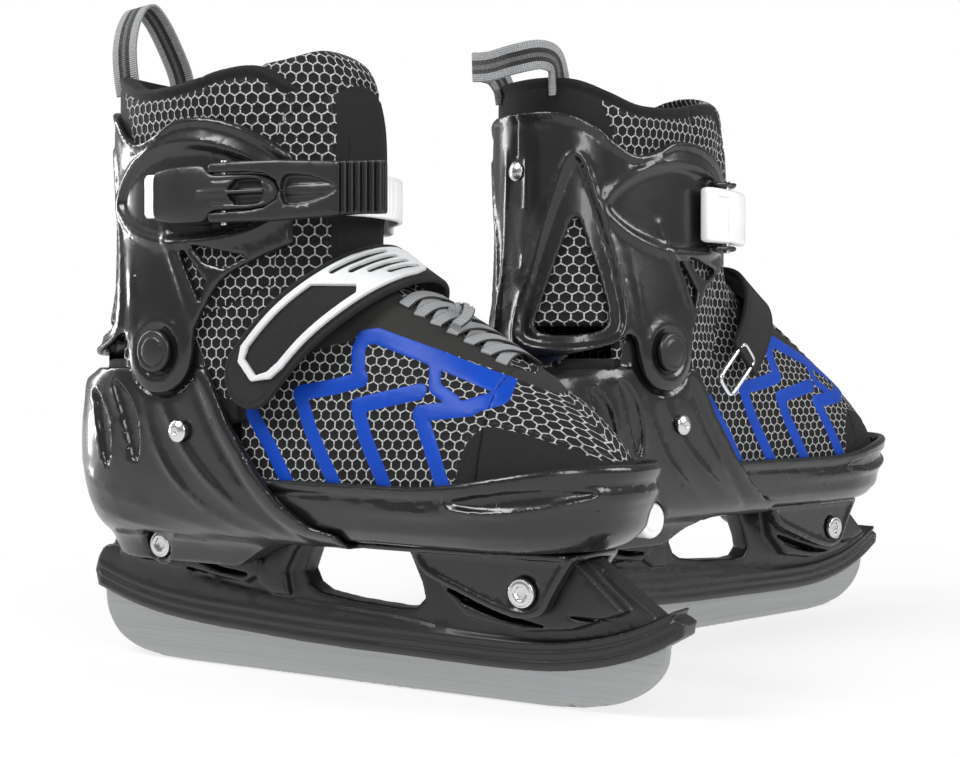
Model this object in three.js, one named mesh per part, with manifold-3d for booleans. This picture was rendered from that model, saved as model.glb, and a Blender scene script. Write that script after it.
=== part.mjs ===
// A pair of size-adjustable hard-shell ice skates, millimetres, +Z up.
// Each skate is built toe towards +X, its outer (lateral) side towards -Y, blade edge on Z = 0.
import * as THREE from 'three';
import { mergeVertices } from 'three/addons/utils/BufferGeometryUtils.js';
import Module from 'manifold-3d';

const wasm = await Module();
wasm.setup();

// ---------------------------------------------------------------- driving dimensions (mm)
const WALL = 3.2;               // moulded shell wall
const TOE_SET = 3.7;            // toe shell sits this far inside the heel shell wing
const GAP = 0.35;               // running gap between neighbouring pieces
const SOLE_TOP = 62.9;          // top of the base sole
const TOE_FLOOR = 63.3;         // underside of the sliding toe shell
const PIVOT_X = 80;             // cuff pivot axis
const PIVOT_Z = 141;
const CUFF_IN = 43.0;           // inside half width of the cuff arms at the pivot
const CUFF_OUT = 46.2;
const BLADE_T = 3.0;            // blade thickness
const HEEL_BOLT = [59, 55.2];   // x, z of the rear frame bolt
const FRONT_BOLT = [245, 47];   // x, z of the front frame bolt
const BUTTON = [77.4, 63];      // x, z of the size button
const BOLT_R = 6;               // bolt head radius
const BUCKLE_Z = 206;           // mid height of the buckle and ladder strap
const LEFT_AT = [175.5, 55.7];  // where the left skate's heel stands beside the right one
const LEFT_TURN = 74;           // degrees the left skate is turned towards +Y

// ---------------------------------------------------------------- materials
function paint(color, roughness, metalness = 0) {
  return new THREE.MeshStandardMaterial({ color, roughness, metalness });
}
const PLASTIC = paint(0x17181b, 0.32);
const HOLDER = paint(0x1c1d20, 0.42);
const STEEL = paint(0xc9ccd0, 0.28, 1);
const CHROME = paint(0xe4e6e8, 0.14, 1);
const LINER = paint(0x121316, 0.9);
const MESH = paint(0x1a1c20, 0.85);
const WEB = paint(0x15161a, 0.95);
const WHITE = paint(0xf1f2f2, 0.35);
const LACE = paint(0x8d9092, 0.9);

// ---------------------------------------------------------------- solids
function toSolid(geometry) {
  const g = geometry.clone();
  for (const name of Object.keys(g.attributes)) {
    if (name !== 'position') g.deleteAttribute(name);
  }
  const m = mergeVertices(g, 1e-4);
  return new wasm.Manifold(new wasm.Mesh({
    numProp: 3,
    vertProperties: new Float32Array(m.attributes.position.array),
    triVerts: new Uint32Array(m.index.array),
  }));
}

function toGeometry(solid) {
  const mesh = solid.getMesh();
  const g = new THREE.BufferGeometry();
  g.setAttribute('position', new THREE.BufferAttribute(new Float32Array(mesh.vertProperties), 3));
  g.setIndex(new THREE.BufferAttribute(new Uint32Array(mesh.triVerts), 1));
  const flat = g.toNonIndexed();
  flat.computeVertexNormals();
  return flat;
}

function smooth(points, steps, closed = false) {
  const curve = new THREE.CatmullRomCurve3(points.map((p) => new THREE.Vector3(p[0], p[1], p[2] ?? 0)),
    closed, 'centripetal');
  const out = curve.getPoints(steps).map((v) => [v.x, v.y, v.z]);
  return closed ? out.slice(0, -1) : out;
}

function shapeOf(points, holes = []) {
  const shape = new THREE.Shape(points.map((p) => new THREE.Vector2(p[0], p[1])));
  for (const hole of holes) {
    shape.holes.push(new THREE.Path(hole.map((p) => new THREE.Vector2(p[0], p[1]))));
  }
  return shape;
}

// outline in the x-z plane carried from y0 to y1
function plateY(points, y0, y1, holes = [], bevel = 0) {
  const g = new THREE.ExtrudeGeometry(shapeOf(points, holes), {
    depth: y1 - y0 - 2 * bevel, bevelEnabled: bevel > 0, bevelThickness: bevel, bevelSize: bevel,
    bevelOffset: -bevel, bevelSegments: 1, curveSegments: 8,
  });
  g.rotateX(Math.PI / 2);
  g.translate(0, y1 - bevel, 0);
  return toSolid(g);
}

// outline in the x-y plane carried from z0 to z1
function plateZ(points, z0, z1) {
  const g = new THREE.ExtrudeGeometry(shapeOf(points), { depth: z1 - z0, bevelEnabled: false });
  g.translate(0, 0, z0);
  return toSolid(g);
}

function block(x0, x1, y0, y1, z0, z1) {
  const g = new THREE.BoxGeometry(x1 - x0, y1 - y0, z1 - z0);
  g.translate((x0 + x1) / 2, (y0 + y1) / 2, (z0 + z1) / 2);
  return toSolid(g);
}

// solid of revolution: profile of [radius, along] turned about the Y or Z direction
function turned(profile, at, axis, segments = 16) {
  const g = new THREE.LatheGeometry(profile.map((p) => new THREE.Vector2(p[0], p[1])), segments);
  if (axis === 'z') g.rotateX(Math.PI / 2);
  g.translate(at[0], at[1], at[2]);
  const solid = toSolid(g);
  return solid.volume() < 0 ? toSolid(flip(g)) : solid;
}

function flip(geometry) {
  const g = mergeVertices(geometry, 1e-4);
  const index = g.index.array;
  for (let i = 0; i < index.length; i += 3) {
    [index[i + 1], index[i + 2]] = [index[i + 2], index[i + 1]];
  }
  return g;
}

function rod(r, y0, y1, x, z, segments = 12) {
  return turned([[0, y0], [r, y0], [r, y1], [0, y1]], [x, 0, z], 'y', segments);
}

// skin through a stack of rings with the same number of points, both ends closed
function loft(rings) {
  const count = rings[0].length;
  const position = [];
  const index = [];
  for (const ring of rings) {
    for (const p of ring) position.push(p[0], p[1], p[2]);
  }
  for (let r = 0; r < rings.length - 1; r += 1) {
    for (let i = 0; i < count; i += 1) {
      const j = (i + 1) % count;
      const a = r * count + i;
      const b = r * count + j;
      const c = a + count;
      const d = b + count;
      index.push(a, b, d, a, d, c);
    }
  }
  for (const end of [0, rings.length - 1]) {
    const ring = rings[end];
    const mid = [0, 1, 2].map((k) => ring.reduce((s, p) => s + p[k], 0) / count);
    const m = position.length / 3;
    position.push(...mid);
    for (let i = 0; i < count; i += 1) {
      const j = (i + 1) % count;
      if (end === 0) index.push(m, end * count + j, end * count + i);
      else index.push(m, end * count + i, end * count + j);
    }
  }
  const g = new THREE.BufferGeometry();
  g.setAttribute('position', new THREE.Float32BufferAttribute(position, 3));
  g.setIndex(index);
  const solid = toSolid(g);
  return solid.volume() < 0 ? toSolid(flip(g)) : solid;
}

// flat band following a path; `across` is the width direction at each point
function band(path, across, width, thickness) {
  const rings = path.map((p, i) => {
    const a = path[Math.max(0, i - 1)];
    const b = path[Math.min(path.length - 1, i + 1)];
    const along = new THREE.Vector3(b[0] - a[0], b[1] - a[1], b[2] - a[2]).normalize();
    const w = (typeof across === 'function' ? across(i / (path.length - 1)) : across).clone();
    w.addScaledVector(along, -w.dot(along)).normalize();
    const up = new THREE.Vector3().crossVectors(along, w).multiplyScalar(thickness / 2);
    const half = w.multiplyScalar((typeof width === 'function' ? width(i / (path.length - 1)) : width) / 2);
    const c = new THREE.Vector3(...p);
    return [[1, 1], [-1, 1], [-1, -1], [1, -1]].map(([s, t]) => {
      const v = c.clone().addScaledVector(half, s).addScaledVector(up, t);
      return [v.x, v.y, v.z];
    });
  });
  return loft(rings);
}

function lerpTable(table, x) {
  if (x <= table[0][0]) return table[0][1];
  for (let i = 1; i < table.length; i += 1) {
    const [x1, v1] = table[i];
    const [x0, v0] = table[i - 1];
    if (x <= x1) return v0 + (v1 - v0) * (x - x0) / (x1 - x0);
  }
  return table[table.length - 1][1];
}

// ---------------------------------------------------------------- foot-shaped plan outline
const HALF_WIDTH = [[0, 41], [40, 42], [80, 42.5], [120, 43.5], [160, 44.6], [200, 47], [240, 49.5],
  [262, 49.5], [293, 47]];
const WIDTH_BY_Z = [[46, 0.5], [52, 0.53], [58, 0.6], [63, 0.78], [66, 0.86], [70, 0.92], [78, 0.975],
  [88, 1], [128, 1], [133, 0.985], [152, 0.985]];
const HEEL_END = [[46, 22], [52, 20], [58, 18], [64, 16], [70, 14], [78, 11], [88, 8.5], [99, 7], [110, 7.5],
  [120, 9.5], [129, 12], [134, 20.9], [152, 23.4]];
const TOE_END = [[63, 275], [66, 282.5], [70, 287], [78, 291.5], [84, 293], [97, 290]];

function halfWidth(x, z, inset) {
  const end = lerpTable(TOE_END, z) - inset;
  const rear = lerpTable(HEEL_END, z) + inset;
  const base = lerpTable(HALF_WIDTH, x) * lerpTable(WIDTH_BY_Z, z) - inset;
  const back = x < 58 ? (1 - Math.min(1, (58 - x) / (58 - rear)) ** 2.3) ** (1 / 2.3) : 1;
  const front = x > 225 ? (1 - Math.min(1, (x - 225) / (end - 225)) ** 2.3) ** (1 / 2.3) : 1;
  return base * back * front;
}

function footRing(z, inset, lift = null) {
  const rear = lerpTable(HEEL_END, z) + inset;
  const end = lerpTable(TOE_END, z) - inset;
  const xs = [];
  for (const u of [0, 0.05, 0.2, 0.5, 1]) xs.push(rear + (58 - rear) * u);
  for (const x of [100, 140, 180, 225]) xs.push(x);
  for (const u of [0.35, 0.63, 0.83, 0.95, 1]) xs.push(225 + (end - 225) * u);
  const side = xs.map((x) => [x, halfWidth(x, z, inset)]);
  const points = side.map(([x, y]) => [x, -y]).concat(side.slice(1, -1).reverse().map(([x, y]) => [x, y]));
  return points.map(([x, y]) => [x, y, z + (lift ? lift(x, z) : 0)]);
}

function footSolid(levels, lift = null) {
  return loft(levels.map(([z, inset]) => footRing(z, inset, lift)));
}

// the toe shell and its lip sweep up towards the toe
function toeLift(x, z) {
  const t = THREE.MathUtils.smoothstep(x, 205, 285);
  return 9.5 * t * Math.max(0, z - 64) / 24;
}

// ---------------------------------------------------------------- ankle plan outline (cuff, collar)
const ANKLE = [  // z, centre x, rear reach, front reach, inner half width of the cuff
  [118, 80, 59.4, 66, 43.0], [141, 80, 59.4, 66, 43.0], [152, 81, 58.6, 66, 42.6], [170, 84, 58.2, 65, 41.4],
  [190, 87, 58.6, 63, 40.6], [215, 89, 59.6, 61, 40.2], [240, 90, 60.4, 60, 40.4], [270, 90, 60.2, 59, 40.6]];

function ankleRing(z, offset, count = 20) {
  const [cx, rb, rf, hw] = [1, 2, 3, 4].map((k) => lerpTable(ANKLE.map((row) => [row[0], row[k]]), z));
  const ring = [];
  for (let i = 0; i < count; i += 1) {
    const a = 2 * Math.PI * i / count;
    const c = Math.cos(a);
    const s = Math.sin(a);
    const reach = (c > 0 ? rf : rb) + offset;
    ring.push([cx + reach * Math.sign(c) * Math.abs(c) ** 0.88, (hw + offset) * Math.sign(s) * Math.abs(s) ** 0.88, z]);
  }
  return ring;
}

function ankleSolid(levels, count = 20) {
  return loft(levels.map(([z, offset]) => ankleRing(z, offset, count)));
}

// ---------------------------------------------------------------- instep surface (vamp, toe cap, laces)
const INSTEP = [[100, 250], [118, 228], [150, 192], [166, 176], [176, 170], [190, 161], [208, 150.5], [227, 139],
  [239, 131.5], [246, 127], [257, 119.5], [265, 112.5], [272, 105], [277.5, 97.5], [282, 88]];

function vampRing(x, inset, count = 15) {
  const base = 67 + inset;
  const top = lerpTable(INSTEP, x) - inset;
  const half = Math.max(1, halfWidth(x, 84, 7.4) - inset);
  const ring = [];
  for (let i = 0; i <= count; i += 1) {
    const a = Math.PI * i / count;
    const c = Math.cos(a);
    const s = Math.sin(a);
    const y = half * Math.sign(c) * Math.abs(c) ** 0.72;
    const z = base + (top - base) * Math.abs(s) ** 0.9;
    ring.push([x, y, z]);
  }
  return ring;
}

function vampTop(x, y) {
  const top = lerpTable(INSTEP, x);
  const half = Math.max(1, halfWidth(x, 84, 7.4));
  const c = Math.min(1, Math.abs(y) / half) ** (1 / 0.72);
  return 67 + (top - 67) * (1 - c * c) ** 0.45;
}

function vampSolid(stations) {
  return loft(stations.map(([x, inset]) => vampRing(x, inset)));
}

// ---------------------------------------------------------------- one skate
function skate(side) {
  const group = new THREE.Group();
  const add = (name, solid, material) => {
    const mesh = new THREE.Mesh(toGeometry(solid), material);
    mesh.name = `${side}_${name}`;
    group.add(mesh);
    return solid;
  };

  // steel runner
  const bladeEdge = smooth([[5, 30], [6.5, 20], [13, 10], [25, 3.6], [42, 0.5]], 7).map((p) => [p[0], p[1]])
    .concat([[56, 0], [246, 0]])
    .concat(smooth([[262, 1], [278, 4.6], [290, 11], [297, 19.5], [299, 33]], 7).map((p) => [p[0], p[1]]));
  const bladeTop = [[288, 33], [262, 25], [226, 22.5], [177, 23], [125, 24.2], [67, 27.5], [43, 30], [24, 34], [14, 36]];
  add('blade', plateY(bladeEdge.concat(bladeTop), -BLADE_T / 2, BLADE_T / 2), STEEL);

  // blade holder: rail with long ribs, an open bow in the middle and two towers
  const railLow = [[5, 31], [24, 25.2], [43, 21.2], [67, 18.5], [97, 16.8], [125, 15.4], [152, 14.6], [177, 14.3],
    [202, 13.9], [226, 13.7], [249, 14.6], [262, 16.4], [275, 19.2], [288, 23.6], [297, 27.8], [306, 33]];
  const railHigh = [[307, 38], [302, 40.5], [281, 31], [254, 26.5], [227, 26], [203, 27], [179, 30], [126, 33],
    [98, 35.5], [69, 40], [40, 46], [22, 50], [10, 50.5], [5.5, 46], [3, 38.5]];
  const web = [[12, 46], [44, 44], [98, 34], [126, 32], [179, 29], [203, 26], [227, 25], [254, 25.5], [281, 30],
    [300, 39.4], [297, 38.8], [267.5, 59.9], [180, 59.9], [182.5, 57], [188.5, 45], [190, 39], [185.5, 34.6],
    [177, 34], [151, 35.6], [136, 37.6], [130, 41], [127.2, 46.5], [130.8, 55.5], [135, 59.9], [112, 59.9],
    [70, 58], [30, 58], [16, 56.5]];
  let holder = plateY(railLow.concat(railHigh), -6.6, 6.6);
  holder = holder.add(plateY(web, -5.4, 5.4));
  const rib = (drop, half, thick) => {
    const line = railLow.filter((p, k) => k % 2 === 1).map((p) => [p[0], p[1] + drop]);
    return plateY(line.concat(line.slice().reverse().map((p) => [p[0], p[1] + thick])), -half, half);
  };
  holder = holder.add(rib(1.2, 7.4, 2.2)).add(rib(5.4, 7.4, 2.2)).add(rib(9.6, 7.2, 1.8));
  holder = holder.add(plateY([[24, 47], [50, 44], [98, 39], [106, 44], [106, 59.9], [26, 59.9]], -12.6, 12.6));
  holder = holder.add(plateY([[104, 40], [112, 35.5], [122, 35.5], [119.5, 46], [124.5, 55], [129, 59.9],
    [110, 59.9]], -9.6, 9.6));
  holder = holder.add(plateY([[198, 59.9], [202, 45], [214, 34], [240, 30.5], [262, 33], [285, 41.5], [266, 58],
    [264, 59.9]], -12.6, 12.6));
  // grooves moulded into the flanks
  const groove = (x0, x1, z0, z1, t) => plateY([[x0, z0], [(x0 + x1) / 2, (z0 + z1) / 2 - t], [x1, z1],
    [(x0 + x1) / 2, (z0 + z1) / 2 + t / 2]], -20, -9.2);
  for (const g of [groove(60, 98, 43.5, 38.6, 2), groove(206, 238, 43, 35.5, 2.4)]) {
    holder = holder.subtract(g).subtract(g.mirror([0, 1, 0]));
  }
  holder = holder.subtract(plateY(bladeEdge.concat([[298, 33.5], [288, 33.5], [262, 25.5], [226, 23], [177, 23.5],
    [125, 24.7], [67, 28], [43, 30.5], [24, 35], [4, 39]]), -BLADE_T / 2 - 0.3, BLADE_T / 2 + 0.3));
  holder = holder.subtract(rod(4.35, -30, 30, ...HEEL_BOLT)).subtract(rod(4.35, -30, 30, ...FRONT_BOLT));
  add('blade_holder', holder, HOLDER);

  // heel shell: moulded heel cup, side wings, long sole and the front lug
  const outer = footSolid([[47.6, 0], [58, 0], [66, 0], [70, 0], [78, 0], [99, -0.6], [129, 0], [134, 0], [152, 0]]);
  const inner = footSolid([[SOLE_TOP, WALL], [66, WALL], [70, WALL], [78, WALL], [99, WALL - 0.6], [129, WALL], [134, 3], [154, 3]]);
  const wing = [[-5, 47.5], [103, 47.5], [109, 50.8], [116, 54.7], [125, 58.2], [132, 60.3], [171, 60.3], [169, 66.5],
    [157, 69.5], [142, 80], [131, 92], [116, 112], [104, 134], [97, 147.5], [-5, 147.5]];
  let heel = outer.subtract(inner).intersect(plateY(wing, -60, 60));
  heel = heel.add(plateZ([[100, -24], [225, -26], [262, -22], [269, -14], [269, 14], [262, 22], [225, 26], [100, 24]],
    60.3, SOLE_TOP));
  const lug = smooth([[192, 60.6], [197, 52.5], [217, 44], [235, 38], [244, 36.6], [253, 39], [258, 47], [263, 55],
    [267, 60.6]], 11).map((p) => [p[0], p[1]]).concat([[267, 62], [192, 62]]);
  heel = heel.add(plateY(lug, -20.2, 20.2, [], 0.8).subtract(block(180, 280, -12.95, 12.95, 20, 60.3)));
  heel = heel.subtract(block(8, 108.5, -12.95, 12.95, 40, 60.3));
  heel = heel.subtract(block(100, 140, -10, 10, 40, 60.29));
  heel = heel.subtract(rod(4.35, -40, 40, ...HEEL_BOLT)).subtract(rod(4.35, -40, 40, ...FRONT_BOLT));
  // the cuff swings over the top of the cup: stand clear of its inside face
  const swing = block(0, 130, -60, 60, 134, 160).add(rod(20, -60, 60, PIVOT_X, PIVOT_Z, 14));
  heel = heel.subtract(swing.subtract(ankleSolid([[112, -1.1], [141, -1.1], [152, -1.1], [166, -1.1]])));
  // recessed seats of the bolts, on the flanks
  for (const s of [-1, 1]) {
    const seat = (r, y, at) => rod(r, Math.min(y * s, 40 * s), Math.max(y * s, 40 * s), at[0], at[1], 12);
    heel = heel.subtract(seat(6.9, 19.4, HEEL_BOLT)).subtract(seat(7.0, 18.6, FRONT_BOLT));
  }
  // long recessed slots in the heel
  const slot = smooth([[52, 128], [58, 121], [63, 108], [66, 96], [62, 93], [57, 103], [51, 116], [47, 126]], 8, true)
    .map((p) => [p[0], p[1]]);
  const slot2 = smooth([[36, 124], [41, 116], [46, 104], [48, 92], [43, 92], [38, 103], [33, 114], [31, 122]], 8, true)
    .map((p) => [p[0], p[1]]);
  const shade = footSolid([[84, 1.3], [99, 0.8], [129, 1.3]]);
  for (const outline of [slot, slot2]) {
    heel = heel.subtract(plateY(outline, -60, 60).subtract(shade));
  }
  const sideRivetAt = [91, 107];
  heel = heel.subtract(rod(2.35, -60, 60, ...sideRivetAt, 10));
  heel = heel.subtract(rod(4.35, -60, 60, PIVOT_X, PIVOT_Z, 14));
  // housing and bore of the size button on the inner flank
  heel = heel.add(block(66.2, 88.6, 13.3, 60, 51, 75).intersect(outer).subtract(block(60, 90, 0, 12.95, 40, 60.3)));
  heel = heel.subtract(turned([[0, 15.5], [8.95, 15.5], [8.95, 60], [0, 60]], [BUTTON[0], 0, BUTTON[1]], 'y', 16));
  add('heel_shell', heel, PLASTIC);

  // size button on the inner side
  const button = turned([[0, 20], [8.6, 20], [8.6, 36.6], [7.4, 38.2], [4, 39], [0, 39.2]], [BUTTON[0], 0, BUTTON[1]],
    'y', 16);
  add('size_button', button, WHITE);

  // frame bolts with hex sockets and their nuts
  const hexPath = (r, x, z) => [0, 1, 2, 3, 4, 5].map((k) => [x + r * Math.cos(k * Math.PI / 3),
    z + r * Math.sin(k * Math.PI / 3)]);
  const boltSet = (name, at, face) => {
    let bolt = turned([[0, -face - 3.2], [BOLT_R - 1, -face - 3.2], [BOLT_R, -face - 2.2], [BOLT_R, -face - GAP],
      [4, -face - GAP], [4, face - 3], [0, face - 3]], [at[0], 0, at[1]], 'y', 12);
    bolt = bolt.subtract(plateY(hexPath(2.9, ...at), -face - 6, -face - 1));
    add(`${name}_bolt`, bolt, CHROME);
    let nut = turned([[0, face + 3.2], [BOLT_R - 1, face + 3.2], [BOLT_R, face + 2.2], [BOLT_R, face + GAP],
      [4, face + GAP], [4, face - 2.7], [0, face - 2.7]], [at[0], 0, at[1]], 'y', 12);
    nut = nut.subtract(plateY(hexPath(2.9, ...at), face + 1, face + 6));
    add(`${name}_nut`, nut, CHROME);
  };
  boltSet('heel', HEEL_BOLT, 19.4);
  boltSet('front', FRONT_BOLT, 18.6);

  // rivets on the heel shell and the cuff pivots
  for (const [name, s] of [['outer', -1], ['inner', 1]]) {
    const rivetFace = halfWidth(sideRivetAt[0], sideRivetAt[1], -0.6);
    const rivet = turned([[0, rivetFace - 5.4], [3.4, rivetFace - 5.4], [3.4, rivetFace - 4.3], [2, rivetFace - 4.3],
      [2, rivetFace + GAP], [4.6, rivetFace + GAP], [4.2, rivetFace + 1.3], [2.4, rivetFace + 2], [0, rivetFace + 2.1]],
    [sideRivetAt[0], 0, sideRivetAt[1]], 'y', 9);
    add(`${name}_side_rivet`, s > 0 ? rivet : rivet.mirror([0, 1, 0]), CHROME);
    const pivot = turned([[0, 37.2], [6.6, 37.2], [6.6, 38.3], [4, 38.3], [4, CUFF_OUT + 0.9], [8.6, CUFF_OUT + 0.9],
      [8.6, CUFF_OUT + 1.7], [6.6, CUFF_OUT + 2.7], [3.6, CUFF_OUT + 3.3], [0, CUFF_OUT + 3.5]],
    [PIVOT_X, 0, PIVOT_Z], 'y', 11);
    add(`${name}_pivot`, s > 0 ? pivot : pivot.mirror([0, 1, 0]), PLASTIC);
  }

  // sliding toe shell with its lip and moulded lines
  const toeOuter = footSolid([[TOE_FLOOR, TOE_SET + 1.2], [65, TOE_SET], [70, TOE_SET], [78, TOE_SET], [82.6, TOE_SET + 0.2], [83, TOE_SET + 1], [84.4, TOE_SET + 1],
    [85, TOE_SET], [88, TOE_SET]], toeLift);
  const toeInner = footSolid([[66, TOE_SET + 3.2], [78, TOE_SET + 3.2],
    [90, TOE_SET + 3]], toeLift);
  let toe = toeOuter.subtract(toeInner).intersect(plateY([[104, 60], [320, 60], [320, 110], [126, 110], [122, 80]],
    -60, 60));
  // eye-shaped hollow moulded in both flanks of the toe
  const eye = smooth([[232, 84.5], [244, 86.5], [257, 88.4], [270, 88], [277, 86.6], [269, 84.2], [257, 81.6],
    [244, 81.6]], 11, true).map((p) => [p[0], p[1]]);
  const eyeFloor = footSolid([[66, TOE_SET + 1.3], [88, TOE_SET + 1.3]], toeLift);
  toe = toe.subtract(plateY(eye, -60, 60).subtract(eyeFloor));
  add('toe_shell', toe, PLASTIC);

  // soft upper: heel liner, vamp and toe cap
  const linerOuter = footSolid([[SOLE_TOP + GAP, WALL + 1.2], [70, WALL + 0.5], [78, WALL + 0.5], [88, WALL + 0.5],
    [129, WALL + 0.5], [134, WALL + 0.3], [140, WALL + 0.3]]);
  const linerInner = footSolid([[67.5, WALL + 6], [88, WALL + 5.4], [129, WALL + 5.4], [134, 8.4], [144, 8.4]]);
  let heelLiner = linerOuter.subtract(linerInner).intersect(plateY([[0, 60], [101, 60], [113, 100], [113, 118],
    [100, 136.5], [80, 136.5], [0, 136.5]], -60, 60));
  heelLiner = heelLiner.subtract(rod(8.2, -60, 60, PIVOT_X, PIVOT_Z, 14));
  for (const s of [-1, 1]) {
    heelLiner = heelLiner.subtract(rod(4, Math.min(36 * s, 60 * s), Math.max(36 * s, 60 * s), ...sideRivetAt, 8));
  }
  heelLiner = heelLiner.subtract(block(65.6, 89.2, 12.7, 60, 60, 75.6));
  add('heel_liner', heelLiner, LINER);

  const throat = [[117, 66], [117, 120], [119, 151], [128, 155.2], [163, 166], [173, 172], [184, 180], [236, 160],
    [236, 66]];
  const vampOut = vampSolid([[114, 0], [150, 0], [176, 0], [212, 0], [240, 0]]);
  const vampIn = vampSolid([[110, 3.4], [150, 3.4], [176, 3.4], [212, 3.4], [242, 3.4]]);
  const insideToe = footSolid([[66.4, TOE_SET + 3.7], [78, TOE_SET + 3.7], [88, TOE_SET + 3.7], [270, TOE_SET + 3.7]],
    toeLift);
  const insideVamp = footSolid([[70, TOE_SET + 7], [78, TOE_SET + 7], [88, TOE_SET + 7], [270, TOE_SET + 7]], toeLift);
  add('vamp', vampOut.subtract(vampIn.intersect(insideVamp)).intersect(plateY(throat, -60, 60)).intersect(insideToe), MESH);
  const capOut = vampSolid([[234, 0], [250, 0], [264, 0], [275, 0], [281, 2.4]]);
  const capIn = vampSolid([[230, 3], [250, 3], [264, 3], [276.4, 7]]);
  add('toe_cap', capOut.subtract(capIn.intersect(insideVamp)).subtract(block(220, 236.3, -60, 60, 50, 200)).intersect(insideToe), LINER);

  // flat lace laid in a zigzag over the throat, with its knot
  const crossings = [[191, -15], [197, 15], [203, -15.5], [209, 15.5], [215, -16], [221, 16], [227, -16]];
  let lace = null;
  crossings.slice(1).forEach(([x1, y1], k) => {
    const [x0, y0] = crossings[k];
    const run = [-0.06, 0.5, 1.06].map((u) => [x0 + (x1 - x0) * u, y0 + (y1 - y0) * u]);
    const lift = 3.2 + 0.2 * (k % 2);
    const piece = band(run.map(([x, y]) => [x, y, vampTop(x, y) + lift]), new THREE.Vector3(1, 0, -0.55), 4.4, 1.1);
    lace = lace ? lace.add(piece) : piece;
  });
  const knot = new THREE.SphereGeometry(4.4, 7, 4);
  knot.scale(1.25, 1.6, 0.62);
  knot.translate(204, 0, vampTop(204, 0) + 4.9);
  lace = lace.add(toSolid(knot));
  add('laces', lace, LACE);

  // hook-and-loop instep strap: outer end low by the wing, over the instep to a ring on the inner side
  const strapLine = smooth([[122, -42.2, 121], [133, -42.6, 134], [150, -39.5, 152], [166, -28, 166.5],
    [175.5, -12, 174.6], [178, 2, 176.4], [174, 17, 173.6], [163, 31, 164], [149, 39.8, 150.5], [137, 43.2, 138]], 20);
  const strapAcross = (t) => new THREE.Vector3(0.66, 0, -0.75 + 0.35 * Math.sin(Math.PI * t));
  const strapWidth = (t) => (t < 0.06 ? 17 : 29) - 5 * Math.max(0, t - 0.8) / 0.2;
  let strap = band(strapLine, strapAcross, strapWidth, 2.6);
  const ringAt = [131.5, 133];
  const turnRing = (solid) => solid.translate([-ringAt[0], 0, -ringAt[1]]).rotate([0, 47, 0])
    .translate([ringAt[0], 44.4, ringAt[1]]);
  const frameRing = (w, h, wire, grow) => turnRing(block(ringAt[0] - h / 2 - grow, ringAt[0] + h / 2 + grow,
    -wire / 2 - grow, wire / 2 + grow, ringAt[1] - w / 2 - grow, ringAt[1] + w / 2 + grow)
    .subtract(block(ringAt[0] - h / 2 + wire + grow, ringAt[0] + h / 2 - wire - grow, -9, 9,
      ringAt[1] - w / 2 + wire + grow, ringAt[1] + w / 2 - wire - grow)));
  strap = strap.add(turnRing(block(ringAt[0] + 3.2, ringAt[0] + 10.5, -3, 3, ringAt[1] - 11, ringAt[1] + 11)));
  strap = strap.subtract(frameRing(28, 15, 2.4, 0.4));
  const vampGuard = vampSolid([[104, -0.5], [150, -0.5], [176, -0.5], [212, -0.5]]);
  strap = strap.subtract(vampGuard);
  add('instep_strap', strap, WEB);
  add('strap_ring', frameRing(28, 15, 2.4, 0), CHROME);

  // rubber badge frame on the strap
  const badgeLine = strapLine.slice(3, 12);
  const lifted = badgeLine.map((p, k) => {
    const a = badgeLine[Math.max(0, k - 1)];
    const b = badgeLine[Math.min(badgeLine.length - 1, k + 1)];
    const along = new THREE.Vector3(b[0] - a[0], b[1] - a[1], b[2] - a[2]).normalize();
    const w = strapAcross((k + 3) / 20);
    w.addScaledVector(along, -w.dot(along)).normalize();
    const up = new THREE.Vector3().crossVectors(along, w);
    if (up.y > 0) up.negate();
    return [p[0] + up.x * 2.6, p[1] + up.y * 2.6, p[2] + up.z * 2.6];
  });
  const badgeWidth = (t) => 21 - 5 * Math.max(0, 0.12 - t) / 0.12;
  add('strap_badge', band(lifted, (t) => strapAcross((t * 8 + 3) / 20), badgeWidth, 1.2), WHITE);

  // hinged cuff
  const cuffLevels = (offset) => [118, 150, 175, 200, 262].map((z) => [z, offset]);
  const cuffOuter = ankleSolid(cuffLevels(CUFF_OUT - CUFF_IN));
  const cuffInner = ankleSolid(cuffLevels(0).map(([z, o]) => [z < 119 ? 117 : z > 261 ? 264 : z, o]));
  const lobe = [];
  for (let k = 0; k <= 8; k += 1) {
    const a = Math.PI * (1.04 + 0.9 * k / 8);
    lobe.push([PIVOT_X + 18 * Math.cos(a), PIVOT_Z + 18 * Math.sin(a)]);
  }
  const rim = smooth([[138, 224], [128, 231], [113, 237.2], [97, 239.6], [86, 238.6], [74, 233], [63, 231], [54, 235.5],
    [44, 244], [32, 250], [15, 252]], 14).map((p) => [p[0], p[1]]);
  const cuffSide = lobe.concat([[99, 150], [104, 160], [112, 171], [127, 179.5], [139.6, 185.5], [139.6, 221.5]], rim,
    [[5, 252], [5, 138.5], [30, 139.5], [48, 144.5], [58, 149], [61, 145]]);
  let cuff = cuffOuter.subtract(cuffInner).intersect(plateY(cuffSide, -70, 70));
  // small triangular windows in the lower lobes
  cuff = cuff.subtract(plateY([[95, 186.5], [124, 180.6], [113, 175.2], [104, 177.6]], -70, 70));
  cuff = cuff.subtract(plateY([[89.5, 183.5], [93, 183.5], [104.6, 170], [101.5, 160.5]], -70, 70));
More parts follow.
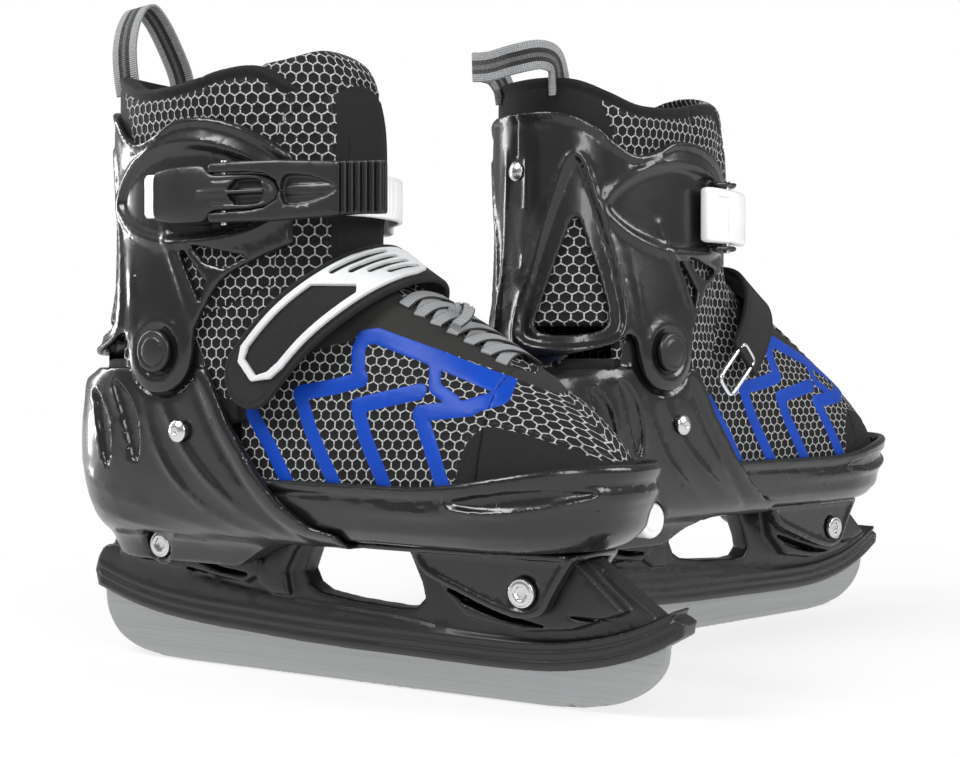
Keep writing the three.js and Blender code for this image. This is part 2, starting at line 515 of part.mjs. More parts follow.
  // tall arched windows in the rear quarters
  for (const s of [-1, 1]) {
    const windowFace = smooth([[-10, 151], [9.5, 156], [8, 172], [4, 186], [0, 195.5], [-5, 186], [-9.5, 168]], 8, true)
      .map((p) => [p[0], p[1]]);
    const cutter = plateY(windowFace, -60, 0).rotate([0, 0, s > 0 ? -125 : -55]);
    const recess = smooth([[-16, 147], [16, 152], [14, 178], [8, 204], [0, 219], [-9, 206], [-15.5, 176]], 8, true)
      .map((p) => [p[0], p[1]]);
    const recessCut = plateY(recess, -80, 0).rotate([0, 0, s > 0 ? -125 : -55]);
    const place = [82, 0, 0];
    const floor = ankleSolid([[136, 1.9], [170, 1.9], [190, 1.9], [222, 1.9]]);
    cuff = cuff.subtract(recessCut.translate(place).subtract(floor));
    cuff = cuff.subtract(cutter.translate(place));
  }
  cuff = cuff.subtract(rod(4.35, -70, 70, PIVOT_X, PIVOT_Z, 14));
  cuff = cuff.subtract(turned([[0, -60], [2.35, -60], [2.35, 60], [0, 60]], [0, 0, 0], 'y', 14)
    .rotate([0, 0, 90]).translate([0, 0, 224]).intersect(block(0, 60, -10, 10, 200, 240)));
  // raised lip along the rim
  const lipOuter = ankleSolid([[205, 4.1], [262, 4.1]]);
  const lipBand = rim.concat(rim.slice().reverse().map((p) => [p[0], p[1] - 2.6]));
  cuff = cuff.add(lipOuter.subtract(ankleSolid([[204, 2], [263, 2]])).intersect(
    plateY(lipBand, -70, 70)));
  const ear = plateZ([[115, 38], [115, 45], [119, 48.3], [127, 47.6], [131, 43.5], [131, 35]], -1.2, 1.2)
    .subtract(turned([[0, -9], [1.85, -9], [1.85, 9], [0, 9]], [123, 45.1, 0], 'z', 16));
  for (const s of [-1, 1]) {
    cuff = cuff.add(ear.translate([0, 0, BUCKLE_Z + s * 15.2]).subtract(cuffInner));
  }
  add('cuff', cuff, PLASTIC);

  const backX = lerpTable(ANKLE.map((r) => [r[0], r[1] - r[2]]), 224);
  const backRivet = turned([[0, -4.4], [3.4, -4.4], [3.4, -GAP], [2, -GAP], [2, 3.2 + GAP], [4.6, 3.2 + GAP],
    [4.2, 4.6], [2.4, 5.3], [0, 5.4]], [0, 0, 0], 'y', 10).rotate([0, 0, 90]).translate([backX, 0, 224]);
  add('cuff_back_rivet', backRivet, CHROME);

  // padded collar, fixed inside the cuff
  const pad = -GAP;
  const collarOuter = ankleSolid([[146, pad], [152, pad], [170, pad], [190, pad], [215, pad], [240, pad],
    [260, pad], [268, -2.6]]);
  const collarInner = ankleSolid([[138, -7.2], [170, -7.6], [215, -8], [258, -8], [270, -5.5]]);
  const collarTop = smooth([[138, 254], [126, 260], [110, 259], [96, 255], [80, 250.5], [66, 252], [52, 259.5],
    [38, 265.5], [15, 267]], 11).map((p) => [p[0], p[1]]);
  const collarSide = [[96, 153.5], [138, 170.8]].concat(collarTop, [[5, 267], [5, 152.5], [66, 152.5]]);
  let collar = collarOuter.subtract(collarInner).intersect(plateY(collarSide, -70, 70));
  collar = collar.subtract(turned([[0, -5], [4.2, -5], [4.2, 5], [0, 5]], [0, 0, 0], 'y', 16).rotate([0, 0, 90])
    .translate([backX, 0, 224]));
  add('ankle_collar', collar, LINER);

  // tongue between the collar edges
  const tongueRows = [[181, 154, 22], [190, 156.4, 25], [205, 158, 27], [225, 158.6, 27.6], [245, 156.6, 27],
    [256, 152.6, 25], [264, 147.6, 20], [269, 143.6, 13]];
  const tongueRings = tongueRows.map(([z, xf, half], k) => {
    const ring = [];
    const thick = k === tongueRows.length - 1 ? 4.4 : 6.8;
    for (let i = 0; i <= 8; i += 1) {
      const y = -half + 2 * half * i / 8;
      ring.push([xf - 0.0105 * y * y, y, z]);
    }
    for (let i = 8; i >= 0; i -= 1) {
      const y = (-half + 2 * half * i / 8) * 0.94;
      ring.push([xf - 0.0105 * y * y - thick, y, z]);
    }
    return ring;
  });
  add('tongue', loft(tongueRings), LINER);

  // buckle on the outer side of the cuff: base plate with a raised nose, strap tunnel and lever pin
  const inBuckle = (solid) => solid.rotate([0, 0, 12]).translate([82, -48.2, BUCKLE_Z]);
  const buckleXY = (x, y) => [82 + x * Math.cos(Math.PI / 15) - y * Math.sin(Math.PI / 15),
    -48.2 + x * Math.sin(Math.PI / 15) + y * Math.cos(Math.PI / 15)];
  const foot = plateY([[-1, -8], [4, -11.4], [26, -11.4], [30.5, -7.6], [52, -7.6], [59, -5.4], [62, 0], [59, 5.4],
    [52, 7.6], [30.5, 7.6], [26, 11.4], [4, 11.4], [-1, 8]], -4.6, 12);
  const nose = plateZ([[2, -4], [6, -6.4], [16, -8.4], [30, -9.4], [50, -9.6], [58, -8.4], [61.5, -4], [61.5, -3],
    [2, -3]], -11.4, 11.4).intersect(plateY([[3, -7], [10, -10.4], [24, -10.4], [30.5, -7.6], [52, -7.6], [59, -5.4],
    [62, 0], [59, 5.4], [52, 7.6], [30.5, 7.6], [24, 10.4], [10, 10.4], [3, 7]], -20, 12));
  const oval = smooth([[43, 0], [46, 4], [52, 4], [55, 0], [52, -4], [46, -4]], 12, true).map((p) => [p[0], p[1]]);
  const pinAt = [36, -6.6];
  let base = foot.add(nose).subtract(plateY(oval, -20, -7).subtract(block(40, 60, -20, 0, -0.8, 0.8)));
  base = base.subtract(turned([[0, -20], [1.55, -20], [1.55, 20], [0, 20]], [...pinAt, 0], 'z', 16));
  base = inBuckle(base).subtract(ankleSolid([[185, CUFF_OUT - CUFF_IN + GAP], [205, CUFF_OUT - CUFF_IN + GAP],
    [230, CUFF_OUT - CUFF_IN + GAP]]));
  const strapPath = [buckleXY(-4, -2.3), buckleXY(16, -2.3), buckleXY(40, -2.3), buckleXY(60, -2.3)].concat(
    smooth([buckleXY(62, -2.3), [152, -32], [158.5, -24.5], [162.6, -13], [163.6, 0], [161.6, 13], [156.4, 24],
      [149, 32], [139, 39.2], [127, 43.6]], 16)).map((p) => [p[0], p[1], BUCKLE_Z]);
  const ladder = (grow) => band(strapPath, new THREE.Vector3(0, 0, 1), 18.6 + 2 * grow, 2 + 2 * grow);
  add('buckle_base', base.subtract(ladder(GAP)), PLASTIC);
  const pin = turned([[0, -13.2], [1.2, -13.2], [1.2, 13.2], [0, 13.2]], [...pinAt, 0], 'z', 16);
  add('lever_pin', inBuckle(pin), CHROME);

  // lever: a fork over the nose of the base, a dished middle and a ribbed thumb end
  const leverPlan = [[33.4, -7.4], [34.2, -9.1], [45, -11.2], [62, -11], [85, -8.8], [106, -6.2], [107.5, -3.4],
    [106, -1], [100, -1.2], [85, -3.4], [70, -4.8], [62, -5.2], [40, -5.2], [34, -5]];
  let lever = plateZ(leverPlan, -12.2, 12.2).intersect(plateY([[30, -12.2], [60, -12.2], [80, -11.3], [108, -10.4],
    [108, 10.4], [80, 11.3], [60, 12.2], [30, 12.2]], -30, 10));
  const throatCut = plateY([[25, -8], [52, -8], [60, -6.2], [62.6, 0], [60, 6.2], [52, 8], [25, 8]], -30, 10);
  lever = lever.subtract(throatCut);
  const tear = smooth([[65, 0], [67, 4.6], [74, 4.2], [84, 0], [74, -4.2], [67, -4.6]], 14, true)
    .map((p) => [p[0], p[1]]);
  lever = lever.subtract(plateY(tear, -30, -8.2));
  for (let k = 0; k < 6; k += 1) {
    lever = lever.subtract(block(89 + 2.7 * k, 90.3 + 2.7 * k, -14, -7.9 + 0.28 * k, -9.2, 9.2));
  }
  lever = lever.subtract(turned([[0, -20], [1.55, -20], [1.55, 20], [0, 20]], [...pinAt, 0], 'z', 16));
  add('buckle_lever', inBuckle(lever), PLASTIC);

  // ladder strap with its broad anchor end on the inner side, and the anchor pin
  const anchorPlan = [[104, 44.2], [104, 47.4], [107, 49.4], [116, 49], [130, 45.8], [144, 39.6], [142.4, 36.2],
    [132, 39], [122, 42], [112, 43.9]];
  const anchorSide = [[102, -10], [105.5, -13.4], [140, -13.4], [145, -9.3], [145, 9.3], [140, 13.4], [105.5, 13.4],
    [102, 10]];
  const anchor = plateZ(anchorPlan, -14, 14).intersect(plateY(anchorSide, 30, 60)).translate([0, 0, BUCKLE_Z]);
  const anchorPin = (r, half) => turned([[0, -half], [r, -half], [r, half], [0, half]], [123, 45.1, BUCKLE_Z], 'z', 16);
  let strapBody = ladder(0).add(anchor).subtract(anchorPin(1.85, 20));
  for (let k = 0; k < 6; k += 1) {
    const [x, y] = buckleXY(-1.8 + 2.2 * k, -3.1);
    strapBody = strapBody.subtract(block(x - 0.4, x + 0.4, y - 0.5, y + 0.3, BUCKLE_Z - 6, BUCKLE_Z + 6));
  }
  add('ladder_strap', strapBody, WHITE);
  add('strap_anchor_pin', anchorPin(1.5, 17.4), CHROME);

  // webbing pull loop on top of the collar's back
  const loopRight = [[35.5, -17, 268.2], [33, -19, 280], [30, -13, 294], [29, -1, 301], [31, 11, 297], [35, 18, 284],
    [36, 17, 268.2]];
  const loopLeft = [[35.5, -17, 268.2], [32, -19.5, 273.5], [22, -21, 275], [13, -14, 272], [10.5, 0, 269],
    [13, 14, 272], [22, 21, 275], [32, 19.5, 273.5], [36, 17, 268.2]];
  const folded = side === 'left';
  const loopAcross = (t) => new THREE.Vector3(1, 0, 0).lerp(new THREE.Vector3(-0.15, 0, 1),
    folded ? Math.sin(Math.PI * t) ** 0.8 : 0);
  add('pull_loop', band(smooth(folded ? loopLeft : loopRight, 20), loopAcross, 13, 1.5), WEB);
  return group;
}

const right = skate('right');
const left = skate('left');
left.scale.y = -1;
left.rotation.z = THREE.MathUtils.degToRad(LEFT_TURN);
left.position.set(LEFT_AT[0], LEFT_AT[1], 0);

const group = new THREE.Group();
group.add(right, left);
group.updateMatrixWorld(true);
const box = new THREE.Box3().setFromObject(group, true);
group.position.set(-(box.min.x + box.max.x) / 2, -(box.min.y + box.max.y) / 2, -box.min.z);
group.updateMatrixWorld(true);

export default group;
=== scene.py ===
import math

import bpy
import numpy as np
import openvdb as vdb
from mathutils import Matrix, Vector


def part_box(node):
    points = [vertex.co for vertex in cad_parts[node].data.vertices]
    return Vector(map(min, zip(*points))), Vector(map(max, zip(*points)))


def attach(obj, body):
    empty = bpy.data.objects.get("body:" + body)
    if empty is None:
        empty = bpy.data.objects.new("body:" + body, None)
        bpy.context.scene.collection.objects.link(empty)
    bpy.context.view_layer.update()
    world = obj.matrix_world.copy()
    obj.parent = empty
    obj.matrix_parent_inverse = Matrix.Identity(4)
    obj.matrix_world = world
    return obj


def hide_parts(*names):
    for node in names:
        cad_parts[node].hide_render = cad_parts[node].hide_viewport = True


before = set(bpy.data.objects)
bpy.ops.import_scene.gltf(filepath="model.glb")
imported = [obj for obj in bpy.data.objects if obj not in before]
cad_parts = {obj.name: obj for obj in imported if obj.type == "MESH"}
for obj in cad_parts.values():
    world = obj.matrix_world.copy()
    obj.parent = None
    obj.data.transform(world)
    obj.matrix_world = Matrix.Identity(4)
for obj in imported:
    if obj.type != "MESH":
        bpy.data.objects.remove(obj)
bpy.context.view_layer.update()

# ------------------------------------------------------------------ where each skate stands
# every piece is made once, in the right skate's own frame (mm): toe +X, outer side -Y, ice at Z = 0
SIDES = ("right", "left")
BLADE_REAR = 5                              # the blade's rear end in the skate's own frame
LEFT_STEP = np.array([175.5, 55.7, 0.0])    # from the right skate's origin to the left one's
TURN = math.radians(74)                     # of the left skate
lo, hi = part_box("right_blade")
ORIGIN = np.array([lo.x * 1000 - BLADE_REAR, (lo.y + hi.y) * 500, 0.0])
LEFT_AT = ORIGIN + LEFT_STEP


def place(p, side):
    """Points of the skate's own frame, in mm, to the row frame in metres."""
    p = np.asarray(p, float)
    if side == "right":
        return (p + ORIGIN) / 1000
    x, y = p[:, 0], -p[:, 1]
    c, s = math.cos(TURN), math.sin(TURN)
    return (np.stack([x * c - y * s, x * s + y * c, p[:, 2]], 1) + LEFT_AT) / 1000


# ------------------------------------------------------------------ small maths
def curve(table, x):
    """Smooth monotone interpolation of [(x, y), ...]."""
    t = np.array(table, float)
    xs, ys = t[:, 0], t[:, 1]
    d = np.diff(ys) / np.diff(xs)
    m = np.concatenate([[d[0]], (d[1:] + d[:-1]) / 2, [d[-1]]])
    flat = np.concatenate([[False], d[1:] * d[:-1] <= 0, [False]])
    m[flat] = 0
    for i, k in enumerate(d):
        if k == 0:
            m[i] = m[i + 1] = 0
        else:
            a, b = m[i] / k, m[i + 1] / k
            r = math.hypot(a, b)
            if r > 3:
                m[i], m[i + 1] = 3 * a * k / r, 3 * b * k / r
    x = np.clip(np.asarray(x, float), xs[0], xs[-1])
    i = np.clip(np.searchsorted(xs, x) - 1, 0, len(xs) - 2)
    h = xs[i + 1] - xs[i]
    u = (x - xs[i]) / h
    return ((2 * u**3 - 3 * u**2 + 1) * ys[i] + (u**3 - 2 * u**2 + u) * h * m[i]
            + (3 * u**2 - 2 * u**3) * ys[i + 1] + (u**3 - u**2) * h * m[i + 1])


def step(a, b, x):
    t = np.clip((x - a) / (b - a), 0, 1)
    return t * t * (3 - 2 * t)


def smax(a, b, k):
    return np.maximum(a, b) + np.maximum(k - np.abs(a - b), 0) ** 2 / (4 * k)


def smin(a, b, k):
    return -smax(-a, -b, k)


def bump(d, width):
    """1 on a line, 0 from width away, rounded."""
    t = np.clip(np.abs(d) / width, 0, 1)
    return (1 - t * t) ** 2


def spline(points, n=80, closed=False):
    """Centripetal-like smooth line through points of any dimension."""
    p = np.array(points, float)
    if closed:
        p = np.vstack([p[-1], p, p[0], p[1]])
    else:
        p = np.vstack([2 * p[0] - p[1], p, 2 * p[-1] - p[-2]])
    k = np.concatenate([[0], np.cumsum(np.sqrt(np.linalg.norm(np.diff(p, axis=0), axis=1) + 1e-9))])
    out = []
    for t in np.linspace(k[1], k[-2], n + (1 if closed else 0))[: n if closed else None]:
        i = min(max(np.searchsorted(k, t) - 1, 1), len(p) - 3)
        t0, t1, t2, t3 = k[i - 1 : i + 3]
        p0, p1, p2, p3 = p[i - 1 : i + 3]
        a1 = (t1 - t) / (t1 - t0) * p0 + (t - t0) / (t1 - t0) * p1
        a2 = (t2 - t) / (t2 - t1) * p1 + (t - t1) / (t2 - t1) * p2
        a3 = (t3 - t) / (t3 - t2) * p2 + (t - t2) / (t3 - t2) * p3
        b1 = (t2 - t) / (t2 - t0) * a1 + (t - t0) / (t2 - t0) * a2
        b2 = (t3 - t) / (t3 - t1) * a2 + (t - t1) / (t3 - t1) * a3
        out.append((t2 - t) / (t2 - t1) * b1 + (t - t1) / (t2 - t1) * b2)
    return np.array(out)


def line_d(points, x, z):
    """Distance to a polyline in a plane, and how far along it (0 to 1)."""
    p = np.array(points, float)[:, :2]
    seg = np.linalg.norm(np.diff(p, axis=0), axis=1)
    total, run = seg.sum(), 0.0
    best = np.full(np.broadcast(x, z).shape, 1e9)
    at = np.zeros_like(best)
    for a, b, n in zip(p[:-1], p[1:], seg):
        if n < 1e-9:
            continue
        t = np.clip(((x - a[0]) * (b[0] - a[0]) + (z - a[1]) * (b[1] - a[1])) / n**2, 0, 1)
        d = np.hypot(x - a[0] - t * (b[0] - a[0]), z - a[1] - t * (b[1] - a[1]))
        near = d < best
        best = np.where(near, d, best)
        at = np.where(near, (run + t * n) / total, at)
        run += n
    return best, np.clip(at, 0, 1)


def area_d(points, x, z):
    """Signed distance to a closed outline in a plane, negative inside."""
    p = np.array(points, float)[:, :2]
    x, z = np.broadcast_arrays(x, z)
    best = np.full(x.shape, 1e9)
    inside = np.zeros(x.shape, bool)
    for a, b in zip(p, np.roll(p, -1, 0)):
        n2 = ((b - a) ** 2).sum()
        if n2 < 1e-12:
            continue
        t = np.clip(((x - a[0]) * (b[0] - a[0]) + (z - a[1]) * (b[1] - a[1])) / n2, 0, 1)
        best = np.minimum(best, (x - a[0] - t * (b[0] - a[0])) ** 2 + (z - a[1] - t * (b[1] - a[1])) ** 2)
        cross = (a[1] > z) != (b[1] > z)
        with np.errstate(divide="ignore", invalid="ignore"):
            inside ^= cross & (x < (b[0] - a[0]) * (z - a[1]) / (b[1] - a[1] + 1e-12) + a[0])
    d = np.sqrt(best)
    return np.where(inside, -d, d)


class Grid:
    """A box of sample points, h mm apart."""

    def __init__(self, lo, hi, h):
        self.lo, self.h = np.array(lo, float), h
        ax = [np.arange(a, b + h, h) for a, b in zip(lo, hi)]
        self.x = ax[0][:, None, None]
        self.y = ax[1][None, :, None]
        self.z = ax[2][None, None, :]
        self.shape = tuple(len(a) for a in ax)

    def mesh(self, field, adapt=0.0):
        """Vertices (mm) and faces of the field's zero surface."""
        band = 3 * self.h
        f = np.clip(np.broadcast_to(field, self.shape), -band, band).astype(np.float32).copy()
        for k in range(3):  # closed at the grid's edge
            for e in (0, -1):
                i = [slice(None)] * 3
                i[k] = e
                f[tuple(i)] = band
        g = vdb.FloatGrid(band)
        g.copyFromArray(f)
        p, tri, quad = g.convertToPolygons(isovalue=0.0, adaptivity=adapt)
        faces = [list(map(int, q[::-1])) for q in quad] + [list(map(int, t[::-1])) for t in tri]
        v = p * self.h + self.lo
        # a little way out from an outward face the field is positive; about 4000 faces are tried
        s = 0.0
        for q in faces[:: max(1, len(faces) // 4000)]:
            a, b, c = v[q[0]], v[q[1]], v[q[2]]
            n = np.cross(b - a, c - a)
            m = a + 0.4 * self.h * n / (np.linalg.norm(n) + 1e-9)
            i = np.clip(np.round((m - self.lo) / self.h).astype(int), 0, np.array(self.shape) - 1)
            s += f[tuple(i)]
        if s < 0:
            faces = [q[::-1] for q in faces]
        return v, faces


class Points:
    """Loose points that a distance function takes in place of a grid."""

    def __init__(self, x, y, z):
        self.x, self.y, self.z = x, y, z


def piece(name, body, verts, faces, material, replaces=(), attrs=None, sides=SIDES):
    """One mesh for each skate, riding on its body and standing for its CAD nodes."""
    for side in sides:
        v = place(verts, side)
        f = faces if side == "right" else [q[::-1] for q in faces]
        me = bpy.data.meshes.new(f"{side}_{name}")
        me.from_pydata(v.tolist(), [], f)
        me.polygons.foreach_set("use_smooth", [True] * len(me.polygons))
        own = me.attributes.new("own", "FLOAT_VECTOR", "POINT")
        own.data.foreach_set("vector", (np.asarray(verts, np.float32)).ravel())
        for key, value in (attrs or {}).items():
            kind, field = ("FLOAT", "value") if np.ndim(value) == 1 else ("FLOAT_VECTOR", "vector")
            a = me.attributes.new(key, kind, "POINT")
            a.data.foreach_set(field, np.asarray(value, np.float32).ravel())
        ob = bpy.data.objects.new(f"{side}_{name}", me)
        bpy.context.scene.collection.objects.link(ob)
        me.materials.append(material)
        me.update()
        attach(ob, f"{side}_{body}")
        if replaces:
            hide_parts(*[f"{side}_{n}" for n in replaces])


# ------------------------------------------------------------------ shape tables, as the CAD model has them
PIVOT = (80, 141)
HEEL_BOLT, FRONT_BOLT = (59, 55.2), (245, 47)
HEEL_FACE, FRONT_FACE = 19.4, 18.6          # the seats of their heads, from the middle plane
BOLT_HOLE = 4.35
SIDE_RIVET = (91, 107)
SIZE_BUTTON = (77.4, 63)
BUCKLE_Z = 206.0
HEEL_ROUND, TOE_ROUND = 58, 225             # where the plan starts to close at each end
PLAN_POWER = 2.3
HALF_WIDTH = [(0, 41), (40, 42), (80, 42.5), (120, 43.5), (160, 44.6), (200, 47), (240, 49.5), (262, 49.5),
              (293, 47)]
WIDTH_BY_Z = [(46, 0.5), (52, 0.53), (58, 0.6), (63, 0.78), (66, 0.86), (70, 0.92), (78, 0.975), (88, 1),
              (128, 1), (133, 0.985), (152, 0.985)]
HEEL_END = [(46, 22), (52, 20), (58, 18), (64, 16), (70, 14), (78, 11), (88, 8.5), (99, 7), (110, 7.5),
            (120, 9.5), (129, 12), (134, 20.9), (152, 23.4)]
TOE_END = [(63, 275), (66, 282.5), (70, 287), (78, 291.5), (84, 293), (97, 290)]
# height, middle, reach backwards, reach forwards, half width
ANKLE = np.array([(118, 80, 59.4, 66, 43.0), (141, 80, 59.4, 66, 43.0), (152, 81, 58.6, 66, 42.6),
                  (170, 84, 58.2, 65, 41.4), (190, 87, 58.6, 63, 40.6), (215, 89, 59.6, 61, 40.2),
                  (240, 90, 60.4, 60, 40.4), (270, 90, 60.2, 59, 40.6)])
INSTEP = [(100, 250), (118, 228), (150, 192), (166, 176), (176, 170), (190, 161), (208, 150.5), (227, 139),
          (239, 131.5), (246, 127), (257, 119.5), (265, 112.5), (272, 105), (277.5, 97.5), (282, 88),
          (285, 80)]


def ellipse_d(u, v, lu, lv, p):
    """Distance to a superellipse whose axes are lu and lv long; u and v are shares of them."""
    s = (np.abs(u) ** p + np.abs(v) ** p + 1e-9) ** (1 / p)
    g = np.sqrt(((np.abs(u) / s) ** (p - 1) / lu) ** 2 + ((np.abs(v) / s) ** (p - 1) / lv) ** 2)
    return (s - 1) / (g + 1e-6)


def plan_limits(x, z, inset):
    """Rear end, front end and unrounded half width of the foot's plan, set in by inset."""
    rear, end = curve(HEEL_END, z) + inset, curve(TOE_END, z) - inset
    return rear, end, curve(HALF_WIDTH, x) * curve(WIDTH_BY_Z, z) - inset


def half_width(x, z, inset=0.0):
    rear, end, base = plan_limits(x, z, inset)

    def rounded(share):
        return np.clip(1 - np.clip(share, 0, 1) ** PLAN_POWER, 0, 1) ** (1 / PLAN_POWER)

    back = rounded((HEEL_ROUND - x) / (HEEL_ROUND - rear))
    front = rounded((x - TOE_ROUND) / (end - TOE_ROUND))
    return base * np.where(x < HEEL_ROUND, back, 1) * np.where(x > TOE_ROUND, front, 1)


def lifted(x, z):
    """The height that a point of the raised toe has on the level shell."""
    k = 9.5 * step(205, 285, x) / 24
    return np.where(z > 64, (z + 64 * k) / (1 + k), z)


def foot_d(g, inset, lift=False):
    """Distance to the foot-shaped side wall, set in by inset."""
    x = g.x
    z = lifted(x, g.z) if lift else g.z
    rear, end, base = plan_limits(x, z, inset)
    at_heel = x < HEEL_ROUND
    length = np.where(at_heel, HEEL_ROUND - rear, end - TOE_ROUND)
    ahead = np.clip((x - TOE_ROUND) / (end - TOE_ROUND), 0, None)
    share = np.where(at_heel, (HEEL_ROUND - x) / (HEEL_ROUND - rear), ahead)
    return ellipse_d(share, g.y / base, length, base, PLAN_POWER)


def ankle_size(z, column):
    """One column of the ankle's table, averaged over 8 mm up and down to round its corners."""
    here, below, above = [np.interp(z + dz, ANKLE[:, 0], ANKLE[:, column]) for dz in (0, -8, 8)]
    return (below + above) / 4 + here / 2


def ankle_d(g, offset):
    """Distance to the round of the leg, set out by offset."""
    middle, back, front, half = [ankle_size(g.z, column) for column in (1, 2, 3, 4)]
    dx = g.x - middle
    reach = np.where(dx > 0, front, back) + offset
    return ellipse_d(dx / reach, g.y / (half + offset), reach, half + offset, 2.2727)


def vamp_d(g, inset=0.0):
    """Distance to the instep's surface (upper of the boot from the ankle to the toe)."""
    x, y, z = g.x, g.y, g.z
    top = curve(INSTEP, x) - inset
    slope = (curve(INSTEP, x + 1) - curve(INSTEP, x - 1)) / 2
    half = np.maximum(half_width(x, np.full_like(x, 84.0), 7.4) - inset, 1)
    high = np.maximum(top - 67, 2)
    a, b = np.abs(y) / half, np.maximum(z - 67, 0) / high
    q = a ** 2.778 + b ** 2.222
    gy = 2.778 * a ** 1.778 / half
    gz = 2.222 * b ** 1.222 / high
    gx = gz * b * slope
    return (q - 1) / np.sqrt(gx**2 + gy**2 + gz**2 + 1e-4)


def side_area(g, outline):
    """Distance to an outline drawn in the side view (X, Z)."""
    return area_d(outline, g.x[:, 0, :], g.z[0, :, :].reshape(1, -1))[:, None, :]


def side_line(g, points):
    """Distance to a line in the side view, and how far along it."""
    d, t = line_d(points, g.x[:, 0, :], g.z[0, :, :].reshape(1, -1))
    return d[:, None, :], t[:, None, :]


def plan_area(g, outline):
    """Distance to an outline drawn from above (X, Y)."""
    return area_d(outline, g.x[:, :, 0], g.y[:, :, 0].reshape(1, -1))[:, :, None]


def plan_line(g, points):
    return line_d(points, g.x[:, :, 0], g.y[:, :, 0].reshape(1, -1))[0][:, :, None]


def plate_d(g, outline, half, k=1.0):
    """A side view outline, half mm thick to either side of the middle plane."""
    return smax(side_area(g, outline), np.abs(g.y) - half, k)


def off_axis(g, at):
    """Distance from a crosswise axis through (x, z)."""
    return np.hypot(g.x - at[0], g.z - at[1])


# ------------------------------------------------------------------ materials
def new_material(name, base, rough, metallic=0.0, **sockets):
    m = bpy.data.materials.new(name)
    m.use_nodes = True
    b = m.node_tree.nodes["Principled BSDF"]
    b.inputs["Base Color"].default_value = (*base, 1)
    b.inputs["Roughness"].default_value = rough
    b.inputs["Metallic"].default_value = metallic
    for k, v in sockets.items():
        b.inputs[k.replace("_", " ")].default_value = v
    return m


class Nodes:
    """Short calls for building a node tree."""

    def __init__(self, m):
        self.t = m.node_tree
        self.b = self.t.nodes["Principled BSDF"]

    def add(self, kind, **props):
        n = self.t.nodes.new(kind)
        for k, v in props.items():
            setattr(n, k, v)
        return n

    def put(self, socket, value):
        if hasattr(value, "is_output"):
            self.t.links.new(value, socket)
        elif value is not None:
            socket.default_value = value

    def math(self, op, a, b=None, c=None, clamp=False):
        n = self.add("ShaderNodeMath", operation=op, use_clamp=clamp)
        for s, v in zip(n.inputs, (a, b, c)):
            self.put(s, v)
        return n.outputs[0]

    def vec(self, op, a, b=None, c=None):
        n = self.add("ShaderNodeVectorMath", operation=op)
        for s, v in zip(n.inputs, (a, b, c)):
            self.put(s, v)
        return n.outputs["Value"] if op in ("DOT_PRODUCT", "LENGTH", "DISTANCE") else n.outputs[0]

    def own(self, name="own"):
        return self.add("ShaderNodeAttribute", attribute_name=name).outputs["Vector"]

    def value(self, name):
        return self.add("ShaderNodeAttribute", attribute_name=name).outputs["Fac"]

    def noise(self, vector, scale, detail=3.0, rough=0.5):
        n = self.add("ShaderNodeTexNoise")
        self.put(n.inputs["Vector"], vector)
        n.inputs["Scale"].default_value = scale
        n.inputs["Detail"].default_value = detail
        n.inputs["Roughness"].default_value = rough
        return n.outputs["Fac"]

    def ramp(self, fac, stops):
        n = self.add("ShaderNodeValToRGB")
        r = n.color_ramp
        while len(r.elements) < len(stops):
            r.elements.new(0.5)
        for e, (p, c) in zip(r.elements, stops):
            e.position = p
            e.color = (*c, 1) if len(c) == 3 else c
        self.put(n.inputs[0], fac)
        return n.outputs[0]

    def mix(self, fac, a, b):
        n = self.add("ShaderNodeMix", data_type="RGBA")
        self.put(n.inputs[0], fac)
        for s, v in ((n.inputs[6], a), (n.inputs[7], b)):
            self.put(s, (*v, 1) if isinstance(v, tuple) and len(v) == 3 else v)
        return n.outputs[2]

    def bump(self, height, distance, strength=1.0, normal=None):
        n = self.add("ShaderNodeBump")
        n.inputs["Strength"].default_value = strength
        n.inputs["Distance"].default_value = distance
        self.put(n.inputs["Height"], height)
        if normal is not None:
            self.put(n.inputs["Normal"], normal)
        return n.outputs[0]

    def out(self, **links):
        for k, v in links.items():
            self.put(self.b.inputs[k.replace("_", " ")], v)


def plastic(name, base, rough, coat=0.0, grain=0.02):
    """Moulded plastic: faint flow marks in the gloss, a fine skin and soft waviness."""
    m = new_material(name, base, rough, Coat_Weight=coat, Coat_Roughness=0.08, Specular_IOR_Level=0.5)
    n = Nodes(m)
    p = n.own()
    broad = n.noise(p, 0.035, 2)
    fine = n.noise(p, 1.1, 4, 0.6)
    r = n.math("MULTIPLY_ADD", broad, 0.16, rough - 0.09)
    r = n.math("MULTIPLY_ADD", fine, 0.05, r)
    c = n.mix(broad, tuple(v * 0.82 for v in base), tuple(min(1, v * 1.25) for v in base))
    n.out(Roughness=r, Base_Color=c,
          Normal=n.bump(fine, 0.0001, grain, n.bump(n.noise(p, 0.12, 1), 0.0012, 0.12)))
    return m


SHELL = plastic("shell plastic", (0.0075, 0.0078, 0.0085), 0.25, 0.3)
HOLDER = plastic("holder plastic", (0.009, 0.0092, 0.01), 0.38, 0.08, 0.06)
BUCKLE = plastic("buckle plastic", (0.012, 0.0122, 0.013), 0.33, 0.1)
WHITE = plastic("white plastic", (0.8, 0.81, 0.82), 0.3, 0.2)


